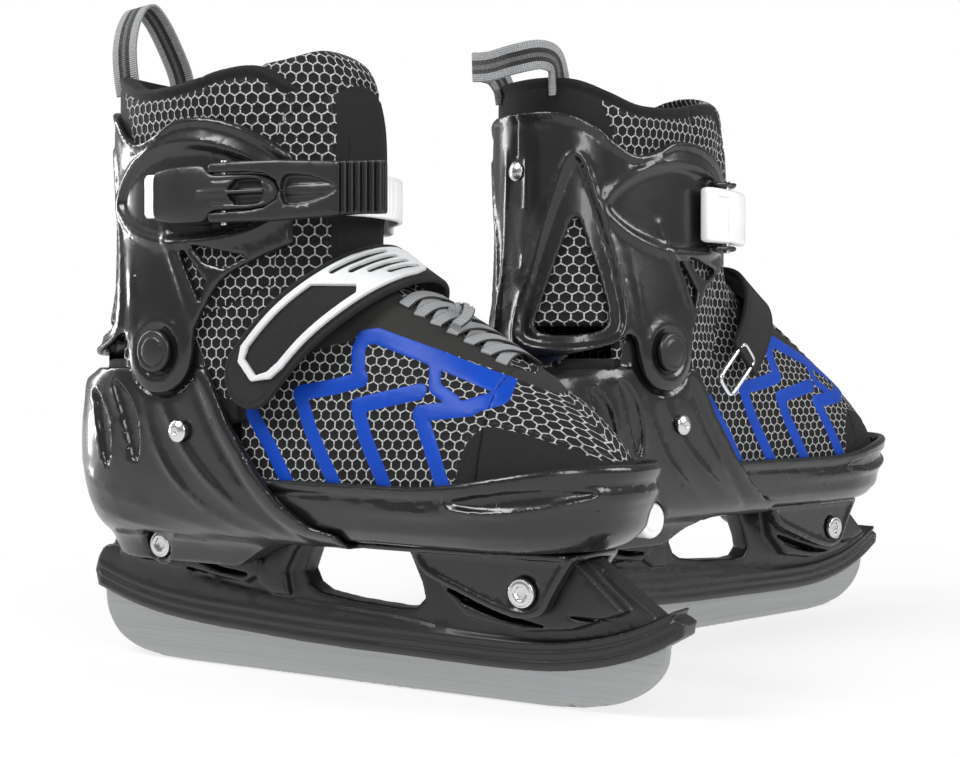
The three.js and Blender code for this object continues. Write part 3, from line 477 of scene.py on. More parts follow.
def steel(name, base, rough, scale):
    m = new_material(name, base, rough, 1.0)
    n = Nodes(m)
    p = n.vec("MULTIPLY", n.own(), scale)
    a = n.noise(p, 1.0, 6, 0.7)
    b = n.noise(n.vec("MULTIPLY", p, (0.15, 1, 0.4)), 1.0, 3, 0.6)
    n.out(Roughness=n.math("MULTIPLY_ADD", a, 0.22, rough - 0.08),
          Base_Color=n.mix(b, tuple(v * 0.8 for v in base), tuple(min(1, v * 1.12) for v in base)),
          Normal=n.bump(a, 0.00012, 0.25))
    return m


STEEL = steel("ground steel", (0.4, 0.405, 0.41), 0.34, (0.05, 3.0, 3.2))
FASTENER = steel("plated steel", (0.7, 0.7, 0.71), 0.22, (1.1, 1.1, 1.1))
CHROME = steel("polished wire", (0.8, 0.81, 0.82), 0.13, (0.8, 0.8, 0.8))


# ------------------------------------------------------------------ blade and holder
BLADE_EDGE = np.vstack([spline([(5, 30), (6.5, 20), (13, 10), (25, 3.6), (42, 0.5)], 24),
                        [(56, 0), (246, 0)], spline([(262, 1), (278, 4.6), (290, 11), (297, 19.5),
                                                     (299, 33)], 24)])
BLADE_TOP = [(288, 33), (262, 25), (226, 22.5), (177, 23), (125, 24.2), (67, 27.5), (43, 30), (24, 34),
             (14, 36)]


def make_blade():
    g = Grid((0, -4, -3), (303, 4, 40), 0.5)
    d = plate_d(g, np.vstack([BLADE_EDGE, BLADE_TOP]), 1.5, 0.35)
    v, f = g.mesh(d, 0.15)
    piece("blade_ground", "shell", v, f, STEEL, ["blade"])


def make_holder():
    g = Grid((0, -16, 11), (309, 16, 62), 0.75)
    low = [(5, 31), (24, 25.2), (43, 21.2), (67, 18.5), (97, 16.8), (125, 15.4), (152, 14.6), (177, 14.3),
           (202, 13.9), (226, 13.7), (249, 14.6), (262, 16.4), (275, 19.2), (288, 23.6), (297, 27.8),
           (306, 33)]
    high = [(307, 38), (302, 40.5), (281, 31), (254, 26.5), (227, 26), (203, 27), (179, 30), (126, 33),
            (98, 35.5), (69, 40), (40, 46), (22, 50), (10, 50.5), (5.5, 46), (3, 38.5)]
    web = [(12, 46), (44, 44), (98, 34), (126, 32), (179, 29), (203, 26), (227, 25), (254, 25.5), (281, 30),
           (300, 39.4), (297, 38.8), (267.5, 59.9), (180, 59.9), (182.5, 57), (188.5, 45), (190, 39),
           (185.5, 34.6), (177, 34), (151, 35.6), (136, 37.6), (130, 41), (127.2, 46.5), (130.8, 55.5),
           (135, 59.9), (112, 59.9), (70, 58), (30, 58), (16, 56.5)]
    low_s = spline(low, 90)
    d = plate_d(g, np.vstack([low_s, spline(high, 60)]), 6.6, 1.6)
    d = smin(d, plate_d(g, web, 5.4, 1.2), 1.4)
    ly = curve([tuple(p) for p in low], g.x)
    for drop, half, thick in ((1.6, 7.5, 2.6), (5.6, 7.5, 2.4), (9.8, 7.3, 2.0)):
        rib = smax(np.abs(g.z - ly - drop - thick / 2) - thick / 2, np.abs(g.y) - half, 1.2)
        rib = smax(rib, np.abs(g.x - 155) - 148.5, 1.2)
        d = smin(d, rib, 0.7)
    tower = plate_d(g, [(24, 47), (50, 44), (98, 39), (106, 44), (106, 59.9), (26, 59.9)], 12.6, 2.2)
    brace = plate_d(g, [(104, 40), (112, 35.5), (122, 35.5), (119.5, 46), (124.5, 55), (129, 59.9),
                        (110, 59.9)], 9.6, 2)
    front = plate_d(g, [(198, 59.9), (202, 45), (214, 34), (240, 30.5), (262, 33), (285, 41.5), (266, 58),
                        (264, 59.9)], 12.6, 2.2)
    for t in (tower, brace, front):
        d = smin(d, t, 2.4)
    # moulded slits in the flanks, heel and front
    for a, b, w in (((66, 44.2), (98, 39.6), 1.3), ((74, 47.8), (101, 43.6), 1.0),
                    ((206, 44.5), (238, 35.2), 1.6), ((212, 40.4), (250, 33.2), 1.0),
                    ((262, 37.8), (292, 39.6), 0.9), ((30, 50.5), (52, 47.4), 1.0)):
        ld, t = side_line(g, [a, ((a[0] + b[0]) / 2, (a[1] + b[1]) / 2 - 1.2), b])
        cut = ld - w * (0.35 + 0.65 * np.sin(np.pi * t))
        d = smax(d, -np.maximum(cut, -(np.abs(g.y) - 9.4)), 0.7)
        cut = ld - w * 0.9 * (0.35 + 0.65 * np.sin(np.pi * t))
        d = smax(d, -np.maximum(cut, -(np.abs(g.y) - 4.6)) - 0.4, 0.7)
    blade = plate_d(g, np.vstack([BLADE_EDGE, [(298, 33.5), (288, 33.5), (262, 25.5), (226, 23),
                                               (177, 23.5), (125, 24.7), (67, 28), (43, 30.5), (24, 35),
                                               (4, 39)]]), 1.8, 0.1)
    d = np.maximum(d, -blade)
    for at in (HEEL_BOLT, FRONT_BOLT):
        d = np.maximum(d, BOLT_HOLE - off_axis(g, at))
    v, f = g.mesh(d, 0.1)
    piece("holder_moulded", "shell", v, f, HOLDER, ["blade_holder"])


# ------------------------------------------------------------------ heel shell
WING = [(-5, 47.5), (103, 47.5), (109, 50.8), (116, 54.7), (125, 58.2), (132, 60.3), (171, 60.3),
        (169, 66.5), (157, 69.5), (142, 80), (131, 92), (116, 112), (104, 134), (97, 147.5), (-5, 147.5)]
WING_EDGE = spline([(171, 66.5), (157, 69.5), (142, 80), (131, 92), (116, 112), (104, 134), (97, 147.5)],
                   60)


def make_heel_shell():
    g = Grid((3, -48, 34), (275, 48, 151), 1.1)
    out = foot_d(g, -0.3)
    # raised border along the wing's edge, moulded ridges and long slots behind it
    e, _ = side_line(g, WING_EDGE)
    out = out - 0.9 * step(7.5, 4.5, e) + 0.5 * bump(e - 8.6, 2.2)
    for pts, w, h in (([(76, 128), (84, 112), (98, 94), (118, 78), (140, 67)], 3.2, 1.1),
                      ([(70, 122), (73, 108), (82, 92), (98, 78), (118, 68), (132, 64)], 2.6, 0.9),
                      ([(18, 92), (34, 84), (60, 76), (86, 70), (110, 64)], 3.4, 0.7),
                      ([(24, 76), (50, 68), (80, 62), (106, 57)], 2.6, 0.6)):
        ld, t = side_line(g, spline(pts, 30))
        out = out - h * bump(ld, w) * np.sin(np.pi * np.clip(t, 0.04, 0.96)) ** 0.5
    for pts in ([(52, 127), (58, 118), (62, 107), (64, 95)], [(37, 123), (42, 114), (45, 103), (46, 93)]):
        ld, t = side_line(g, spline(pts, 24))
        w = 1.2 + 2.6 * np.sin(np.pi * t) ** 0.7
        out = out + 1.7 * step(w + 0.7, w - 0.5, ld) - 0.45 * bump(ld - w - 1.2, 1.5)
    wing = side_area(g, WING)
    inner = foot_d(g, 3.2)
    shell = smax(out, -smax(inner, 62.9 - g.z, 1.5), 0.8)
    shell = smax(shell, wing, 1.3)
    d = smax(shell, 47.6 - g.z, 2.0)
    sole = smax(plan_area(g, [(100, -24), (225, -26), (262, -22), (269, -14), (269, 14), (262, 22),
                              (225, 26), (100, 24)]), np.abs(g.z - 61.6) - 1.3, 0.8)
    d = smin(d, sole, 0.8)
    lug = np.vstack([spline([(192, 60.6), (197, 52.5), (217, 44), (235, 38), (244, 36.6), (253, 39),
                             (258, 47), (263, 55), (267, 60.6)], 40), [(267, 62), (192, 62)]])
    flank = smax(side_area(g, lug), np.abs(g.y) - 20.2, 2.0)
    rim, _ = side_line(g, lug[:40])
    flank = flank + 0.9 * step(2.2, 3.6, rim) * (np.abs(g.y) > 15)
    flank = np.maximum(flank, -np.maximum(np.abs(g.y) - 12.95, g.z - 60.3))
    d = smin(d, flank, 0.6)
    d = np.maximum(d, -np.maximum(np.maximum(np.abs(g.y) - 12.95, g.z - 60.3), g.x - 108.5))
    d = np.maximum(d, -np.maximum(np.maximum(np.abs(g.y) - 10, g.z - 60.29),
                                  np.maximum(g.x - 140, 100 - g.x)))
    for at in (HEEL_BOLT, FRONT_BOLT):
        d = np.maximum(d, BOLT_HOLE - off_axis(g, at))
    # the cuff's swing room
    room = np.minimum(np.maximum(134 - g.z, g.x - 130), off_axis(g, PIVOT) - 20)
    d = smax(d, -np.maximum(room, -ankle_d(g, -1.1)), 0.5)
    for at, y, r in ((HEEL_BOLT, HEEL_FACE, 6.9), (FRONT_BOLT, FRONT_FACE, 7.0)):
        d = smax(d, -np.maximum(off_axis(g, at) - r, y - np.abs(g.y)), 0.7)
        ring = np.abs(off_axis(g, at) - r - 1.3) - 1.2
        d = smin(d, smax(ring, np.abs(np.abs(g.y) - y + 0.4) - 1.0, 0.6), 0.5)
    d = np.maximum(d, 2.35 - off_axis(g, SIDE_RIVET))
    d = np.maximum(d, BOLT_HOLE - off_axis(g, PIVOT))
    # the size button's housing on the inner flank
    h = np.maximum(np.maximum(np.abs(g.x - 77.4) - 11.2, np.maximum(51 - g.z, g.z - 75)), 13.3 - g.y)
    h = smax(h, foot_d(g, 0), 0.8)
    h = np.maximum(h, -np.maximum(np.maximum(g.y - 12.95, g.z - 60.3), -g.y))
    d = smin(d, h, 0.6)
    button = off_axis(g, SIZE_BUTTON)
    collar = smax(np.abs(button - 10.4) - 1.5, np.abs(g.y - 36.5) - 2.2, 0.8)
    d = smin(d, smax(collar, foot_d(g, -1.6), 0.8), 0.8)
    d = np.maximum(d, -np.maximum(button - 8.95, 15.5 - g.y))
    v, f = g.mesh(d, 0.05)
    piece("heel_shell_moulded", "shell", v, f, SHELL, ["heel_shell"])


# ------------------------------------------------------------------ toe shell
def make_toe_shell():
    g = Grid((100, -49, 61), (312, 49, 103), 0.9)
    z0 = lifted(g.x, g.z)
    out = foot_d(g, 3.7, True)
    out = out - 0.8 * bump(z0 - 86.2, 2.6)                       # lip
    out = out + 0.9 * bump(z0 - 82.6, 1.6)                       # groove under it
    front = step(150, 215, g.x)
    out = out - 0.9 * front * bump(z0 - 77.5 - 1.5 * step(240, 285, g.x), 2.4)
    out = out + 0.5 * front * bump(z0 - 73.6, 1.8)
    out = out - 0.7 * step(120, 190, g.x) * bump(z0 - 69.5, 2.6)
    # long eye-shaped hollow
    eye = spline([(226, 82.5), (240, 85.4), (256, 87.6), (270, 88.4), (280, 87), (270, 83.6), (254, 80.6),
                  (238, 80)], 60, True)
    ed = side_area(g, eye)
    out = out + 1.6 * step(0.8, -1.4, ed) - 0.7 * bump(ed - 1.4, 2.0)
    d = smax(out, -smax(foot_d(g, 6.9, True), 66 - g.z, 1.0), 1.0)
    d = smax(d, z0 - 88, 1.2)
    d = smax(d, 63.3 - g.z, 2.4)
    d = smax(d, side_area(g, [(104, 60), (320, 60), (320, 112), (126, 112), (122, 80)]), 1.0)
    v, f = g.mesh(d, 0.05)
    piece("toe_shell_moulded", "toe", v, f, SHELL, ["toe_shell"])


# ------------------------------------------------------------------ hinged cuff
RIM = [(138, 224), (128, 231), (113, 237.2), (97, 239.6), (86, 238.6), (74, 233), (63, 231), (54, 235.5),
       (44, 244), (32, 250), (15, 252)]
LOBE = [(80 + 18 * math.cos(a), 141 + 18 * math.sin(a)) for a in np.linspace(math.pi * 1.04, math.pi * 1.94,
                                                                             24)]
CUFF_SIDE = np.vstack([LOBE, spline([(99, 150), (104, 160), (112, 171), (127, 179.5), (139.6, 185.5)], 20),
                       [(139.6, 221.5)], spline(RIM, 50), [(5, 252), (5, 138.5), (30, 139.5)],
                       spline([(48, 144.5), (58, 149), (61, 145)], 8)])


def make_cuff():
    g = Grid((16, -51, 120), (142, 51, 255), 1.0)
    out = ankle_d(g, 3.2)
    rim = spline(RIM, 60)
    rd, _ = side_line(g, rim)
    out = out - 0.9 * bump(rd - 1.6, 2.2) + 0.35 * bump(rd - 5.2, 2.0)
    # recess round the buckle, with a raised border
    eye = spline([(50, 207), (60, 218), (80, 226), (104, 226), (126, 218), (139, 206), (126, 194),
                  (100, 189.5), (76, 191), (58, 198)], 70, True)
    ed = side_area(g, eye)
    out = out + (1.5 * step(1.2, -2.2, ed) - 1.2 * bump(ed - 2.6, 3.2))
    # the arm's bright front edge and the ridges of the side
    for pts, w, h in (([(78, 200), (86, 183), (93, 168), (99, 152)], 3.4, 1.2),
                      ([(60, 186), (62, 170), (64, 156), (66, 146)], 3.0, 0.8),
                      ([(52, 232), (62, 224), (80, 231), (100, 233), (122, 227)], 2.2, 0.5)):
        ld, t = side_line(g, spline(pts, 30))
        out = out - h * bump(ld, w) * np.sin(np.pi * np.clip(t, 0.05, 0.95)) ** 0.6
    # round seat of the pivot
    r = off_axis(g, PIVOT)
    out = out - 0.7 * step(16.5, 14.0, r) + 0.9 * step(12.0, 10.6, r)
    # rear quarters: arched hollow with a window, by the angle round the leg
    ang = np.degrees(np.arctan2(np.abs(g.y), -(g.x - 82.0)))      # 0 at the back, 90 at the side
    arc = (ang - 35) * 0.87                                       # mm round the leg at about 50 mm radius
    arch = spline([(-22, 147), (16, 149), (15, 176), (6, 206), (-3, 229), (-11, 210), (-19.5, 176)], 60,
                  True)
    ad = area_d(arch, arc[:, :, 0][:, :, None], g.z)
    out = out + 1.4 * step(0.6, -1.6, ad) - 0.9 * bump(ad - 1.8, 2.4)
    win = spline([(-17, 151), (10, 152.5), (8.5, 170), (3, 187), (-3.5, 202), (-9, 189), (-14.5, 170)], 60,
                 True)
    wd = area_d(win, arc[:, :, 0][:, :, None], g.z)
    # spine at the back
    back = np.abs(g.y)
    spine = (g.x < 50) * (0.8 * bump(back - 6.5, 1.8) * step(240, 225, g.z))
    out = out - spine + (g.x < 50) * 0.8 * bump(back, 1.0) * step(226, 232, g.z)
    d = smax(out, -ankle_d(g, 0), 0.7)
    d = smax(d, side_area(g, CUFF_SIDE), 1.2)
    d = smax(d, -smax(wd, g.x - 82, 0.5), 0.9)
    for tri in ([(95, 186.5), (124, 180.6), (113, 175.2), (104, 177.6)],
                [(89.5, 183.5), (93, 183.5), (104.6, 170), (101.5, 160.5)]):
        d = smax(d, -(side_area(g, tri) + 0.3), 0.8)
    d = np.maximum(d, BOLT_HOLE - r)
    d = np.maximum(d, -np.maximum(np.hypot(g.y, g.z - 224) - 2.35, g.x - 60))
    # ears of the strap anchor on the inner side
    ear = plan_area(g, [(113, 36), (115, 45), (119, 48.3), (127, 47.6), (131, 43.5), (131, 35)])
    for s in (-1, 1):
        e = smax(ear, np.abs(g.z - BUCKLE_Z - s * 15.2) - 1.2, 0.5)
        e = np.maximum(e, 1.85 - np.hypot(g.x - STRAP_PIN[0], g.y - STRAP_PIN[1]))
        d = smin(d, np.maximum(e, -ankle_d(g, 0.5)), 0.5)
    v, f = g.mesh(d, 0.05)
    piece("cuff_moulded", "cuff", v, f, SHELL, ["cuff"])


# ------------------------------------------------------------------ cloth, webbing and rubber
def weave(n, p, pitch):
    """Height of a plain weave: crossed threads, pitch in mm."""
    s = n.add("ShaderNodeSeparateXYZ")
    n.put(s.inputs[0], p)
    w = 2 * math.pi / pitch
    x, y, z = [n.math("SINE", n.math("MULTIPLY", s.outputs[k], w)) for k in range(3)]
    return n.math("MULTIPLY_ADD", x, z, n.math("MULTIPLY", y, z))


def fabric(name, base, pitch=0.9, rough=0.82, fuzz=0.35, depth=0.0002, sheen=0.04):
    m = new_material(name, base, rough, Sheen_Weight=sheen, Sheen_Roughness=0.5, Specular_IOR_Level=0.3)
    n = Nodes(m)
    p = n.own()
    w = weave(n, p, pitch)
    blotch = n.noise(p, 0.25, 4, 0.65)
    speck = n.noise(p, 2.2, 3, 0.7)
    c = n.mix(n.math("MULTIPLY_ADD", speck, fuzz, n.math("MULTIPLY", blotch, 0.5), clamp=True),
              tuple(v * 0.5 for v in base), tuple(min(1, v * 1.7 + 0.003) for v in base))
    n.out(Base_Color=c, Roughness=n.math("MULTIPLY_ADD", speck, 0.12, rough - 0.06),
          Normal=n.bump(n.math("MULTIPLY_ADD", speck, 1.5, w), depth, 0.7, n.bump(blotch, 0.0012, 0.25)))
    return m


def lattice(n, uv, pitch, width=0.085):
    """1 on the lines of a hexagon lattice, and the place in its cell from 0 to 0.5; uv in mm."""
    split = n.add("ShaderNodeSeparateXYZ")
    n.put(split.inputs[0], uv)
    high = math.sqrt(3)
    centres = []
    for shift in (500.0, 500.5):  # the two sets of cell centres
        x = n.math("SUBTRACT", n.math("FRACT", n.math("MULTIPLY_ADD", split.outputs[0], 1 / pitch, shift)),
                   0.5)
        y = n.math("SUBTRACT", n.math("FRACT", n.math("MULTIPLY_ADD", split.outputs[1], 1 / pitch / high,
                                                      shift)), 0.5)
        x, y = n.math("ABSOLUTE", x), n.math("MULTIPLY", n.math("ABSOLUTE", y), high)
        centres.append((x, y, n.math("MULTIPLY_ADD", x, x, n.math("MULTIPLY", y, y))))
    (ax, ay, ar), (bx, by, br) = centres
    near = n.math("LESS_THAN", ar, br)
    x = n.math("MULTIPLY_ADD", near, n.math("SUBTRACT", ax, bx), bx)
    y = n.math("MULTIPLY_ADD", near, n.math("SUBTRACT", ay, by), by)
    edge = n.math("MAXIMUM", x, n.math("MULTIPLY_ADD", x, 0.5, n.math("MULTIPLY", y, high / 2)))
    line = n.math("MULTIPLY", n.math("SUBTRACT", edge, 0.5 - width), 1.6 / width, clamp=True)
    bead = n.math("MULTIPLY", n.math("SUBTRACT", n.math("SQRT", n.math("MINIMUM", ar, br)), 0.5), 14.0,
                  clamp=True)
    dash = n.math("MULTIPLY", n.math("SUBTRACT", n.noise(uv, 1.3, 1), 0.3), 5.0, clamp=True)
    return n.math("MULTIPLY", line, n.math("MAXIMUM", n.math("MULTIPLY", dash, 0.75), bead)), edge


def inside(n, attribute, soft=0.12):
    """1 where a stored distance is negative."""
    return n.math("MULTIPLY_ADD", n.value(attribute), -0.5 / soft, 0.5, clamp=True)


def stitches(n, distance, along, at, pitch=3.0):
    """Dashes along the line where distance equals at."""
    off = n.math("ABSOLUTE", n.math("SUBTRACT", distance, at))
    near = n.math("SUBTRACT", 1.0, n.math("MULTIPLY", off, 2.6), clamp=True)
    gap = n.math("GREATER_THAN", n.math("FRACT", n.math("DIVIDE", n.math("ADD", along, 900.0), pitch)), 0.3)
    return n.math("MULTIPLY", near, gap)


def mesh_cloth(name, overlay):
    """Black spacer mesh with a light hexagon lattice, plain in places; overlay adds the film and the eyestay."""
    m = new_material(name, (0.012, 0.012, 0.013), 0.75, Sheen_Weight=0.03, Specular_IOR_Level=0.22)
    n = Nodes(m)
    uv, p = n.own("laid"), n.own()
    line, edge = lattice(n, uv, 4.9)
    fine = weave(n, n.vec("MULTIPLY", uv, (1, 1, 0)), 0.9)
    speck = n.noise(p, 2.4, 3, 0.7)
    c = n.mix(n.math("MULTIPLY_ADD", line, 0.95, n.math("MULTIPLY", n.math("GREATER_THAN", speck, 0.66),
                                                        0.03)), (0.006, 0.006, 0.0065), (0.78, 0.79, 0.8))
    height = n.math("MULTIPLY_ADD", line, 1.5, n.math("MULTIPLY", edge, 1.6))
    rough = n.math("MULTIPLY_ADD", speck, 0.1, 0.7)
    flat = inside(n, "plain")
    thread = stitches(n, n.value("plain"), n.value("ux"), 1.4, 2.6)
    black = n.mix(n.math("MULTIPLY_ADD", n.noise(p, 0.4, 4), 0.5, n.math("MULTIPLY", speck, 0.4)),
                  (0.005, 0.005, 0.0055), (0.014, 0.014, 0.015))
    c = n.mix(flat, c, black)
    c = n.mix(n.math("MULTIPLY", thread, 0.5), c, (0.06, 0.06, 0.065))
    height = n.math("MULTIPLY", height, n.math("SUBTRACT", 1.0, flat))
    if overlay:
        stay = inside(n, "stay")
        c = n.mix(stay, c, n.mix(speck, (0.006, 0.006, 0.006), (0.035, 0.034, 0.032)))
        blue = inside(n, "blue")
        film = n.mix(n.noise(p, 0.08, 2), (0.0, 0.035, 0.3), (0.001, 0.055, 0.42))
        c = n.mix(blue, c, film)
        bare = n.math("SUBTRACT", 1.0, blue)
        rough = n.math("ADD", n.math("MULTIPLY", rough, bare), n.math("MULTIPLY", blue, 0.38))
        height = n.math("MULTIPLY", height, n.math("SUBTRACT", 1.0, n.math("MAXIMUM", blue, stay)))
    n.out(Base_Color=c, Roughness=rough, Normal=n.bump(height, 0.0005, 0.8,
                                                       n.bump(n.math("MULTIPLY_ADD", speck, 1.2, fine),
                                                              0.00012, 0.6)))
    return m


def rubber(name, base, dull, bright):
    m = new_material(name, base, 0.55, Specular_IOR_Level=0.4)
    n = Nodes(m)
    p = n.own()
    n.out(Roughness=n.math("MULTIPLY_ADD", n.noise(p, 0.6, 3), 0.15, 0.45),
          Base_Color=n.mix(n.noise(p, 0.2, 3), dull, bright), Normal=n.bump(n.noise(p, 3.0, 2), 0.0001,
                                                                            0.4))
    return m


UPPER = mesh_cloth("mesh upper", True)
COLLAR = mesh_cloth("collar mesh", False)
LINING = fabric("lining cloth", (0.012, 0.012, 0.013), 1.1)
STRAP = fabric("strap webbing", (0.011, 0.011, 0.012), 0.8, 0.78, 0.3)
RUBBER = rubber("light rubber", (0.62, 0.63, 0.64), (0.55, 0.56, 0.57), (0.7, 0.71, 0.72))


def banded(name, stops, rib, rough=0.7):
    """Woven tape: colour by the place across it (0 to 1), ribs along it, with shade painted into the grooves
    between the ribs.
    """
    m = new_material(name, stops[0][1], rough, Sheen_Weight=0.15, Specular_IOR_Level=0.35)
    n = Nodes(m)
    across, along = n.value("across"), n.value("along")
    c = n.ramp(across, stops)
    c.node.color_ramp.interpolation = "CONSTANT"
    rows = n.math("SINE", n.math("MULTIPLY", along, 2 * math.pi / rib))
    cords = n.math("SINE", n.math("MULTIPLY", across, 2 * math.pi * 16))
    speck = n.noise(n.own(), 2.5, 3, 0.7)
    h = n.math("MULTIPLY_ADD", rows, 0.8, n.math("MULTIPLY", cords, 0.35))
    # painted shade: the colour darkens in the grooves between the ribs, following the rib height, with a random
    # speckled tone on top
    groove_shade_and_speck = n.math("MULTIPLY_ADD", rows, 0.14, n.math("MULTIPLY_ADD", speck, 0.3, 0.7), clamp=True)
    n.out(Base_Color=n.mix(groove_shade_and_speck, (0.0, 0.0, 0.0), c), Roughness=n.math("MULTIPLY_ADD", speck, 0.15,
                                                                       rough - 0.08),
          Normal=n.bump(n.math("MULTIPLY_ADD", speck, 0.6, h), 0.0003, 0.8))
    return m


GREY, INK = (0.34, 0.35, 0.36), (0.014, 0.014, 0.016)
MIDDLE_GREY = (0.12, 0.122, 0.125)
LOOP = banded("loop webbing", [(0, GREY), (0.27, INK), (0.42, MIDDLE_GREY), (0.56, INK), (0.73, GREY)],
              0.95)
LACE = banded("flat lace", [(0, INK), (0.09, GREY), (0.91, INK)], 1.3)


# ------------------------------------------------------------------ things laid along a path
class Route:
    """A path with a width direction; carries points (along, across, out) in mm onto it."""

    def __init__(self, points, across, core=(130, 0, 110), n=160):
        self.c = spline(points, n)
        self.s = np.concatenate([[0], np.cumsum(np.linalg.norm(np.diff(self.c, axis=0), axis=1))])
        self.length = self.s[-1]
        t = np.gradient(self.c, axis=0)
        t /= np.linalg.norm(t, axis=1)[:, None]
        u = np.array([across(v) for v in self.s / self.length], float)
        u -= (u * t).sum(1)[:, None] * t
        self.u = u / np.linalg.norm(u, axis=1)[:, None]
        self.n = np.cross(t, self.u)
        if ((self.c - np.array(core, float)) * self.n).sum() < 0:
            self.n = -self.n
        self.t = t

    def carry(self, v):
        s = v[:, 0]
        f = [np.stack([np.interp(s, self.s, a[:, k]) for k in range(3)], 1) for a in (self.c, self.u,
                                                                                      self.n, self.t)]
        over = s - np.clip(s, 0, self.length)
        return f[0] + f[1] * v[:, 1:2] + f[2] * v[:, 2:3] + f[3] * over[:, None]


def tape(route, outline, thick, h=0.5, relief=None, soft=0.7):
    """Flat band of that outline (along, across) laid on a route; relief(distance in, x, y) lowers its face."""
    o = np.array(outline, float)
    g = Grid((o[:, 0].min() - 2, o[:, 1].min() - 2, -1.5), (o[:, 0].max() + 2, o[:, 1].max() + 2,
                                                            thick + 2), h)
    d = plan_area(g, o)
    low = relief(d, g.x, g.y) if relief else 0
    f = smax(d, np.abs(g.z - thick / 2) - thick / 2 + low, soft)
    v, faces = g.mesh(f, 0.02)
    wide = max(np.abs(o[:, 1]).max(), 1e-3)
    return route.carry(v), faces, {"along": v[:, 0], "across": np.clip(v[:, 1] / wide / 2 + 0.5, 0, 1)}


def join(parts):
    """One mesh of several (vertices, faces, attributes)."""
    verts, faces, attrs, k = [], [], {}, 0
    for v, f, a in parts:
        verts.append(v)
        faces += [[i + k for i in q] for q in f]
        for key, value in a.items():
            attrs.setdefault(key, []).append(value)
        k += len(v)
    return np.vstack(verts), faces, {key: np.concatenate(v) for key, v in attrs.items()}


def tube(points, r, ring=14, closed=False, n=120):
    """Round wire along a smooth path."""
    c = spline(points, n, closed)
    t = np.roll(c, -1, 0) - np.roll(c, 1, 0) if closed else np.gradient(c, axis=0)
    t /= np.linalg.norm(t, axis=1)[:, None]
    side = np.cross(t, np.array([0.13, 0.97, 0.21]))
    side /= np.linalg.norm(side, axis=1)[:, None]
    up = np.cross(t, side)
    a = np.linspace(0, 2 * math.pi, ring, endpoint=False)
    out = np.cos(a)[None, :, None] * side[:, None] + np.sin(a)[None, :, None] * up[:, None]
    v = (c[:, None] + r * out).reshape(-1, 3)
    m = len(c)
    f = [[i * ring + j, i * ring + (j + 1) % ring, (i + 1) % m * ring + (j + 1) % ring,
          (i + 1) % m * ring + j] for i in range(m if closed else m - 1) for j in range(ring)]
    if not closed:
        f += [list(range(ring))[::-1], [(m - 1) * ring + j for j in range(ring)]]
    return v, f, {}


# ------------------------------------------------------------------ fasteners
def hexagon_d(g, at, r):
    x, z = np.abs(g.x - at[0]), np.abs(g.z - at[1])
    return np.maximum(x * 0.866 + z * 0.5, z) - r * 0.866


def make_bolts():
    for name, at, face in (("heel", HEEL_BOLT, HEEL_FACE), ("front", FRONT_BOLT, FRONT_FACE)):
        for kind, s in (("bolt", -1), ("nut", 1)):
            g = Grid((at[0] - 8, -24, at[1] - 8), (at[0] + 8, 24, at[1] + 8), 0.4)
            y = g.y * s
            r = off_axis(g, at)
            head = smax(r - 5.9, np.abs(y - face - 1.7) - 1.5, 1.3)
            head = head + 0.25 * bump(r - 4.7, 0.5)
            head = smax(head, -np.maximum(hexagon_d(g, at, 2.9), face + 1.0 - y), 0.3)
            shank = np.maximum(r - 3.9, np.abs(y - face / 2 - 1.2) - face / 2 + 1.2 - 1.6)
            v, f = g.mesh(smin(head, shank, 0.3), 0.02)
            piece(f"{name}_{kind}_turned", "shell", v, f, FASTENER, [f"{name}_{kind}"])


def make_side_fasteners():
    """The low rivet and the cuff's pivot on each flank."""
    at, face = SIDE_RIVET, 45.2
    for name, s in (("outer", -1), ("inner", 1)):
        g = Grid((at[0] - 6, -50, at[1] - 6), (at[0] + 6, 50, at[1] + 6), 0.4)
        y, r = g.y * s, off_axis(g, at)
        dome = np.maximum(np.sqrt(r**2 + (y - face + 5.2) ** 2) - 7.6, np.maximum(face - 0.3 - y, r - 4.7))
        d = smin(dome, np.maximum(r - 2, np.abs(y - face + 2.6) - 2.9), 0.3)
        d = smin(d, np.maximum(r - 3.4, np.abs(y - face + 4.9) - 0.6), 0.2)
        d = smax(d, -np.maximum(r - 1.3, face + 1.5 - y), 0.4)
        v, f = g.mesh(d, 0.02)
        piece(f"{name}_rivet_turned", "shell", v, f, FASTENER, [f"{name}_side_rivet"])
        g = Grid((69, -52, 130), (91, 52, 152), 0.5)
        y, r = g.y * s, off_axis(g, PIVOT)
        dome = smax(r - 9.0, np.abs(y - 47.9) - 1.3 - 0.75 * np.clip(1 - (r / 9) ** 2, 0, 1), 1.2)
        dome = dome + 0.55 * bump(r - 6.3, 0.9)
        d = smin(dome, np.maximum(r - 4, np.abs(y - 42.6) - 5.2), 0.3)
        d = smin(d, np.maximum(r - 6.6, np.abs(y - 37.8) - 0.6), 0.3)
        v, f = g.mesh(d, 0.03)
        piece(f"{name}_pivot_turned", "shell", v, f, BUCKLE, [f"{name}_pivot"])


def make_back_rivet():
    x = float(np.interp(224, ANKLE[:, 0], ANKLE[:, 1] - ANKLE[:, 2]))
    g = Grid((x - 8, -7, 217), (x + 7, 7, 231), 0.35)
    y, r = x - g.x, np.hypot(g.y, g.z - 224)
    d = np.maximum(np.sqrt(r**2 + (y + 1.3) ** 2) - 6.7, np.maximum(3.4 - y, r - 4.6))
    d = smin(d, np.maximum(r - 2, np.abs(y) - 3.8), 0.3)
    d = smin(d, np.maximum(r - 3.4, np.abs(y + 2.6) - 1.8), 0.3)
    v, f = g.mesh(d, 0.02)
    piece("cuff_back_rivet_turned", "cuff", v, f, FASTENER, ["cuff_back_rivet"])


